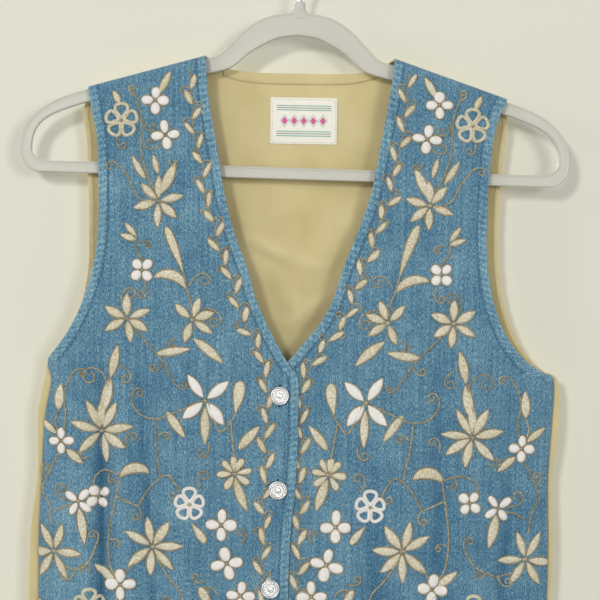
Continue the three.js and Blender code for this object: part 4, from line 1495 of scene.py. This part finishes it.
stitching = {}
for front in (RIGHT, LEFT):
    seams = Needlework(front["side"], 31, UNLIMITED)
    for route in (edge_route(front, "inner", 0.12, LAST - 0.15),
                  edge_route(front, "outer", 0.12, front["armpit"] - 0.02),
                  hem_route(front)):
        seams.petals(stitch_rows(route), False, None)
    if front["lapped"]:
        seams.cords(buttonhole_loops(), 0.8, closed=True, around=6)
        # A thin dark strip in each buttonhole, the painted shadow of its slit.
        slits = Needlework(front["side"], 32, UNLIMITED)
        rows = [(-x, drop + 9.3, 90, 18.6, 2.6, 0.2, 0.2, 0, 0, 0.3) for x, drop in BUTTONS]
        slits.petals(dict(zip(PETALS, np.array(rows).T)), False, None)
        slit_piece = slits.sew("painted_buttonhole_shadows", depth_under(front), slit_dark.material)
    name = "topstitching_" + front["name"]
    stitching[front["name"]] = seams.sew(name, depth_under(front), blue_thread)

# %% [markdown]
# ## Inside the neck
# The neckline of the back is turned to the inside and stitched down as a narrow band. Below
# it a woven label is sewn on along its four sides. The label here carries no words: a row
# of small lozenges between fine lines stands in for a maker's mark.

# %% Neck band
FACING = {"half": 64.0, "middle": 8.8, "end": 6.5, "power": 3}
PATCH_GAP = 0.25
FACING_THICK = 0.5
SEAM_SHARE = 0.86


def inside_back(lift):
    """The inside of the back as a depth over places, lift in front of the cloth."""
    body = RIGHT["outer"][RIGHT["armpit"]]
    return lambda x, drop: back_y(x, drop, body) - COTTON - lift


def patch_grid(x, share, drop_at, lift):
    """A grid of a piece that lies on the inside of the back."""
    x, share = np.broadcast_arrays(x[None, :], share[:, None])
    drop = drop_at(x, share)
    y = inside_back(lift)(x, drop)
    points = np.stack([x, y, NECK_LEVEL - drop], axis=2)
    return points, np.stack([x, NECK_LEVEL - drop], axis=2)


def facing_drop(x, share):
    """A band under the neckline that narrows towards the shoulders."""
    narrow = (np.abs(x) / FACING["half"]) ** FACING["power"]
    width = FACING["middle"] - (FACING["middle"] - FACING["end"]) * narrow
    return back_top(x) + SEAM_GAP + width * share


facing_x = np.linspace(-FACING["half"], FACING["half"], 120)
facing_share = np.array((0, 0.04, 0.12, 0.3, 0.5, 0.7, 0.85, 0.94, 1.0))
points, flat = patch_grid(facing_x, facing_share, facing_drop, FACING_THICK + PATCH_GAP)
swell = np.sin(np.pi * np.clip(facing_share, 0.0, 1.0)) ** 0.5
points[..., 1] -= 0.35 * swell[:, None]
edge = np.stack([np.full(flat.shape[:2], NO_EDGE), flat[..., 0]], axis=2)
facing = sheet_mesh("neck_band", points, FACING_THICK, khaki, (0, -1, 0),
                    {"flat": flat, "edge": edge, "painted_crease_shade": np.zeros_like(flat)})

khaki_thread = thread_finish("khaki_thread", colour(168, 148, 98), colour(208, 192, 146))
neck_route = np.stack([facing_x[2:-2], facing_drop(facing_x, SEAM_SHARE)[2:-2]], axis=1)
neck_seam = Needlework(1, 41, UNLIMITED)
neck_seam.petals(stitch_rows(neck_route, 2.4, 3.2, 0.7, 0.6), False, None)
neck_stitches = neck_seam.sew("neck_stitches", inside_back(FACING_THICK + PATCH_GAP), khaki_thread)

# %% Label
LABEL = {"x": 4.0, "drop": 48.5, "width": 56.0, "height": 39.0}
LABEL_THICK = 0.4
LOZENGE_STEP = 8.0
LABEL_SEAM = 1.6


def label_finish():
    tape = Finish("woven_label", Roughness=0.6)
    tape.shader.inputs["Sheen Weight"].default_value = 0.2
    place, x, up = tape.uv("label")
    weave = (x * 14.0).math("SINE") * (up * 14.0).math("SINE")
    cloud = tape.noise(place, 0.12, 2.0)
    white = tape.mix(cloud, colour(232, 228, 212), colour(246, 243, 232))
    from_centre = x - LABEL["width"] / 2
    cell = (from_centre / LOZENGE_STEP + 0.5).math("FRACT") - 0.5
    from_middle = (up - LABEL["height"] / 2).math("ABSOLUTE")
    lozenge = cell.math("ABSOLUTE") * LOZENGE_STEP + from_middle * 0.8
    inside = 1.0 - from_centre.math("ABSOLUTE").step(22.6, 23.0)
    in_row = 1.0 - from_centre.math("ABSOLUTE").step(19.8, 20.0)
    rose = (1.0 - lozenge.step(2.6, 3.0)) * in_row
    ring = lozenge.band(4.0, 0.3) * in_row
    lines = from_middle.band(9.0, 0.45) + from_middle.band(12.6, 0.45)
    dark = from_middle.band(10.8, 0.35)
    shade = tape.mix(rose, white, colour(206, 92, 146))
    shade = tape.mix((ring + lines * inside).clamped(), shade, colour(86, 168, 152))
    shade = tape.mix((dark * inside).clamped(), shade, colour(96, 92, 104))
    raised = weave * 0.3 + (rose + lines + dark).clamped() * 0.5
    tape.finish(Base_Color=shade, Normal=tape.bump(raised, 0.2, 0.6))
    return tape.material


label_x = np.linspace(-LABEL["width"] / 2, LABEL["width"] / 2, 72)
label_share = np.linspace(0, 1, 52)
points, flat = patch_grid(
    LABEL["x"] + label_x, label_share,
    lambda x, share: LABEL["drop"] + LABEL["height"] * (share - 0.5), 0.55)
side_gap = np.minimum(label_x - label_x[0], label_x[-1] - label_x)[None, :]
end_gap = LABEL["height"] * np.minimum(label_share, 1 - label_share)[:, None]
to_rim = np.minimum(side_gap, end_gap)
across, down = np.broadcast_arrays(label_x[None, :], label_share[:, None])
puff = 0.5 * smooth_step(to_rim, 1.2, 9.0) + 0.12 * np.sin(across / 5.0) * np.sin(down * 9.0)
points[..., 1] -= puff * smooth_step(to_rim, 0.5, 4.0)
drawn = np.stack([across + LABEL["width"] / 2, (1 - down) * LABEL["height"]], axis=2)
label = sheet_mesh("neck_label_tape", points, LABEL_THICK, label_finish(), (0, -1, 0),
                   {"label": drawn})

white_thread = thread_finish("white_thread", colour(196, 190, 170), colour(238, 234, 220))
half_w, half_h = LABEL["width"] / 2 - LABEL_SEAM, LABEL["height"] / 2 - LABEL_SEAM
corners = np.array(((-1, -1), (1, -1), (1, 1), (-1, 1), (-1, -1))) * (half_w, half_h)
label_route = corners + (LABEL["x"], LABEL["drop"])
label_seam = Needlework(1, 42, UNLIMITED)
label_seam.petals(stitch_rows(label_route, 2.2, 3.0, 0.7, 0.55), False, None)
label_stitches = label_seam.sew("label_stitches", inside_back(0.6), white_thread)

# %% [markdown]
# ## Buttons
# The buttons are stamped metal on a shank, with a raised rim, beaded and ribbed rings and a
# small boss. A turned profile gives the rings, and the ribs come from a wave round the
# face, so the whole button is one surface of radius and angle.


# %% Buttons
def button_face(radius, turn):
    """Height of the face: boss, ribbed dish, beads and rim, as bumps at their radii."""

    def ring(centre, half):
        return np.exp(-(((radius - centre) / half) ** 2))

    boss = 0.55 * np.sqrt(np.maximum(0, 1 - (radius / 1.9) ** 2))
    ribs = 0.3 * ring(3.35, 0.8) * np.cos(12 * turn)
    beads = 0.42 * ring(5.2, 0.42) * (0.6 + 0.4 * np.cos(27 * turn))
    rims = 0.55 * ring(6.75, 0.42) + 0.12 * ring(2.35, 0.2) + 0.14 * ring(4.5, 0.16)
    return boss + ribs + beads + rims - 0.55


def button_rings(centre_x, front_y_mm, centre_z):
    """Rings of a button from the middle of its face, round the rim, to its shank."""
    turn = np.linspace(0, 2 * np.pi, 108, endpoint=False)
    radii = np.concatenate([np.linspace(0.02, 6.9, 46), (7.2, 7.42, 7.5)])
    face = button_face(radii[:, None], turn)
    face[-3:] = np.array((-0.25, -0.5, -0.9))[:, None]
    back_profile = ((7.5, -1.7), (7.1, -2.3), (5.5, -2.4), (1.6, -2.4), (1.3, -2.7),
                    (1.25, -5.2), (0.6, -5.3), (0.05, -5.3))
    behind = np.array(back_profile)
    radii = np.concatenate([radii, behind[:, 0]])
    height = np.concatenate([face, np.tile(behind[:, 1:], (1, 108))])
    x = centre_x + radii[:, None] * np.cos(turn)
    z = centre_z + radii[:, None] * np.sin(turn)
    y = front_y_mm - height
    grain = np.stack(np.broadcast_arrays(radii[:, None], turn), axis=2)
    return np.stack([x, y, z], axis=2), grain


def metal_finish():
    metal = Finish("engraved_metal", Metallic=1.0, Roughness=0.3)
    _, radius, _ = metal.uv("round")
    cloud = metal.noise(metal.object_place(), 0.35, 3.0, 0.6)
    fine = metal.noise(metal.object_place(), 2.2, 2.0)
    grooves = sum((radius.band(at, 0.22) for at in (2.05, 2.65, 4.2, 4.78, 5.75)),
                  start=radius.band(6.2, 0.2))
    dark = (grooves * 0.75 + (cloud - 0.5) * 0.4).clamped()
    silver = metal.mix(dark, colour(255, 255, 253), colour(104, 102, 100))
    metal.finish(Base_Color=silver, Roughness=0.26 + cloud * 0.2,
                 Normal=metal.bump(fine, 0.05, 0.5))
    return metal.material


silver = metal_finish()
buttons = []
for number in range(1, len(BUTTONS) + 1):
    low, high = (np.array(corner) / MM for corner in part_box(f"button_{number}"))
    middle = (low + high) / 2
    rings, grain = button_rings(middle[0], low[1] + 0.05, middle[2])
    shape = rings.shape
    quads, caps = ring_faces(1, shape[0], shape[1])
    points = rings.reshape(-1, 3)
    flip = signed_volume(points, quads) < 0
    quads, caps = (rows[:, ::-1] if flip else rows for rows in (quads, caps))
    buttons.append(add_mesh(f"engraved_button_{number}", points, [quads, caps], silver,
                            {"round": grain.reshape(-1, 2)}))

# %% [markdown]
# ## The hanger
# The hanger is moulded in one: a flat band that arches over the neck, runs down the
# shoulders and turns back as a straight bar. Both of its edges stand up as a thin rim, so
# its section is carried round the loop between an outer and an inner outline. A steel hook
# is pressed into its socket.

# %% Hanger outlines
TILT = math.radians(0.8)
ARCH_TOP = np.array(((0, -40.0), (4, -39.8), (26, -36), (44, -25.3), (56.5, -12),
                     (64.5, -4.4), (71, -0.7), (79, 1.3)), dtype=float)
ARCH_UNDER = np.array(((0, -20.7), (3, -20.6), (16, -18.6), (27, -13.6), (39.5, -6),
                       (49.6, 3.2), (58.5, 8.8), (78, 13.8)), dtype=float)
HANGER_BAND = 9.7
END = {"x": 181.0, "drop": 31.0, "out_x": 228.2, "out_drop": 78.5, "foot_x": 211.0,
       "foot_drop": 98.6}


def bezier(places, count):
    """A curve from the first place to the last, pulled towards the two between."""
    share = np.linspace(0, 1, count + 1)[1:, None]
    rest = 1 - share
    a, b, c, d = (np.array(place) for place in places)
    return a * rest**3 + 3 * b * share * rest**2 + 3 * c * share**2 * rest + d * share**3


def hanger_outline(arch, inset):
    """Half an outline, from the top of the arch round the end to the middle of the bar."""
    at = np.linspace(0, len(arch) - 1, 60)
    curve = np.stack([read_rows(arch[:, axis], at) for axis in (0, 1)], axis=1)
    arm = np.array((END["x"] - inset * 0.25, END["drop"] + inset * 1.04))
    far = np.array((END["out_x"] - inset, END["out_drop"]))
    foot = np.array((END["foot_x"] - inset * 0.6, END["foot_drop"] - inset))
    line = curve[-1] + np.linspace(0, 1, 31)[1:, None] * (arm - curve[-1])
    arm_pull = arm + (27 - inset * 0.5, 8.2)
    upper = bezier((arm, arm_pull, (far[0], far[1] - 25), far), 36)
    low_pull = (far[0], foot[1] - 7 + inset * 0.3)
    foot_pull = (foot[0] + 9 - inset * 0.4, foot[1])
    lower = bezier((far, low_pull, foot_pull, foot), 22)
    bar = foot + np.linspace(0, 1, 49)[1:, None] * (np.array((0, foot[1])) - foot)
    return np.concatenate([curve, line, upper, lower, bar])


def hanger_loop(arch, inset):
    """The whole outline: the left half and then the right one, back to the top."""
    half = hanger_outline(arch, inset)
    return np.concatenate([half, (half[-2:0:-1] * (-1, 1))])


def tilted(x, y, z):
    """Points in the garment's frame: the hanger leans a little about its hook."""
    lean_x = x * math.cos(TILT) + z * math.sin(TILT)
    return np.stack([lean_x, y, z * math.cos(TILT) - x * math.sin(TILT)], axis=-1)


# Distance in from an edge of the band, and how far the face stands off its middle.
RIM = np.array(((0.0, 1.3), (0.15, 1.95), (0.5, 2.38), (0.95, 2.5), (1.45, 2.42),
                (1.8, 2.1), (2.4, 2.0)))


def hanger_rings():
    """The band's section round the loop: a rim at each edge and a flat face between."""
    outer, inner = hanger_loop(ARCH_TOP, 0.0), hanger_loop(ARCH_UNDER, HANGER_BAND)
    width = np.hypot(*(inner - outer).T)[:, None]
    near = RIM[None, :, 0] / width
    share = np.concatenate([near, 1 - near[:, ::-1]], axis=1)
    off = np.concatenate([RIM[:, 1], RIM[::-1, 1]])
    share = np.concatenate([share, share[:, ::-1]], axis=1)
    off = np.concatenate([-off, off[::-1]])
    flat = outer[:, None] + (inner - outer)[:, None] * share[..., None]
    y = np.broadcast_to(off, share.shape)
    return tilted(flat[..., 0], y, NECK_LEVEL - flat[..., 1])


def plastic_finish():
    plastic = Finish("moulded_plastic", Roughness=0.42)
    plastic.shader.inputs["Specular IOR Level"].default_value = 0.45
    place = plastic.object_place()
    cloud = plastic.noise(place, 0.02, 2.0)
    grain = plastic.noise(place, 1.2, 2.0)
    grey = plastic.mix(cloud, colour(190, 189, 177), colour(197, 196, 184))
    plastic.finish(Base_Color=grey, Roughness=0.38 + grain * 0.12,
                   Normal=plastic.bump(grain, 0.04, 0.5))
    return plastic.material


plastic = plastic_finish()
rings = hanger_rings()
points = rings.reshape(-1, 3)
quads = turned_out(points, closed_faces(1, *rings.shape[:2]))
hanger = add_mesh("hanger_band", points, [quads], plastic)

# %% Socket and hook
SOCKET_TOP = -48.5
SOCKET_LEVEL = NECK_LEVEL - SOCKET_TOP
WIRE = {"radius": 1.75, "bend": 19.0, "depth": 13.6}


def turned_rings(profile, around):
    """Oval rings of a profile of (half width, half depth, height below the socket's top)."""
    turn = np.linspace(0, 2 * np.pi, around, endpoint=False)
    wide, deep, z = np.array(profile, dtype=float).T
    x = wide[:, None] * np.cos(turn)
    y = deep[:, None] * np.sin(turn)
    return tilted(x, y, np.broadcast_to(SOCKET_LEVEL + z[:, None], x.shape))


def closed_piece(name, rings, material, uvs=None):
    """A piece from one row of rings, with its faces outwards."""
    points = rings.reshape(-1, 3)
    quads, caps = ring_faces(1, *rings.shape[:2])
    if signed_volume(points, quads) < 0:
        quads, caps = quads[:, ::-1], caps[:, ::-1]
    return add_mesh(name, points, [quads, caps], material, uvs)


# Half width, half depth and height of the neck: it spreads into the arch below.
SOCKET = ((0.05, 0.05, -13.5), (6.5, 2.1, -13.5), (9.0, 2.25, -12.5), (9.2, 2.3, -10.5),
          (7.4, 2.5, -8.6), (5.7, 2.9, -7.0), (4.9, 3.3, -5.2), (4.6, 3.6, -3.0),
          (4.55, 3.7, -0.8), (4.1, 3.4, 0.0), (2.6, 2.6, 0.0), (2.15, 2.15, -0.5),
          (2.15, 2.15, -5.0), (0.05, 0.05, -5.0))
socket = closed_piece("hanger_socket", turned_rings(SOCKET, 48), plastic)


def hook_path():
    """The wire's middle line: a shank, a bend to one side and a bow about the rail."""
    middle = WIRE["bend"] + WIRE["radius"]
    floor = SOCKET_LEVEL - WIRE["depth"]
    shank = [(0, floor), (0, (floor - 62) / 2), (0, -62), (2.2, -53), (9.5, -43)]
    angles = np.radians(np.arange(-38, 193, 23))
    bow = np.stack([middle * np.cos(angles), middle * np.sin(angles) - WIRE["bend"]], 1)
    places = np.concatenate([np.array(shank, dtype=float), bow])
    at = np.linspace(0, len(places) - 1, 180)
    return np.stack([read_rows(places[:, axis], at) for axis in (0, 1)], axis=1)


def hook_rings(around=24):
    """The round wire carried along its path, domed at both ends."""
    path = hook_path()
    step = np.gradient(path, axis=0)
    step = step / np.linalg.norm(step, axis=1, keepdims=True)
    moved = np.concatenate([[0], np.cumsum(np.hypot(*np.diff(path, axis=0).T))])
    to_end = np.minimum(moved, moved[-1] - moved)
    dome = 1 - np.clip(to_end / WIRE["radius"], 0, 1)
    radius = np.maximum(WIRE["radius"] * np.sqrt(1 - dome**2), 0.05)[:, None]
    turn = np.linspace(0, 2 * np.pi, around, endpoint=False)
    x = path[:, :1] - step[:, 1:] * radius * np.cos(turn)
    z = path[:, 1:] + step[:, :1] * radius * np.cos(turn)
    return tilted(x, radius * np.sin(turn), z)


def steel_finish():
    steel = Finish("bright_steel", Metallic=1.0, Roughness=0.25)
    place = steel.object_place()
    drawn = steel.noise(place, 0.8, 3.0)
    shade = steel.mix(drawn, colour(176, 178, 180), colour(214, 214, 212))
    steel.finish(Base_Color=shade, Roughness=0.2 + drawn * 0.14)
    return steel.material


hook = closed_piece("wire_hook", hook_rings(), steel_finish())

# %% [markdown]
# ## Attaching the pieces
# Nothing moves on a waistcoat that hangs, so every piece rides on the one body, and the
# imported parts that the pieces replace are hidden. The area of one side of each cloth sheet
# is printed.

# %% Bodies
hard = {
    "hanger_plastic": ((hanger, ("hanger_frame",)), (socket, ())),
    "hook_steel": ((hook, ("hanger_hook",)),),
    "button_metal": tuple((piece, (f"button_{number}",))
                          for number, piece in enumerate(buttons, start=1)),
}
soft = {
    "denim": ((fronts["right"], ("front_right",)), (fronts["left"], ("front_left",)),
              (stitching["right"], ()), (stitching["left"], ()), (slit_piece, ())),
    "cotton": ((back, ("back",)), (facing, ("neck_facing",)), (neck_stitches, ())),
    "label": ((label, ("neck_label",)), (label_stitches, ())),
    "embroidery": tuple((piece, ()) for layers in needlework.values() for piece in layers),
}
for slot_name, members in {**hard, **soft}.items():
    for piece, nodes in members:
        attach(piece, "root")
        if nodes:
            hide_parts(*nodes)


# %% Sheets
def one_side(piece):
    """Half the area of a closed sheet, in square metres."""
    areas = np.empty(len(piece.data.polygons))
    piece.data.polygons.foreach_get("area", areas)
    return float(areas.sum() / 2)


for piece in (fronts["right"], fronts["left"], back, facing, label):
    print(piece.name, "shows", round(one_side(piece), 4), "square metres")
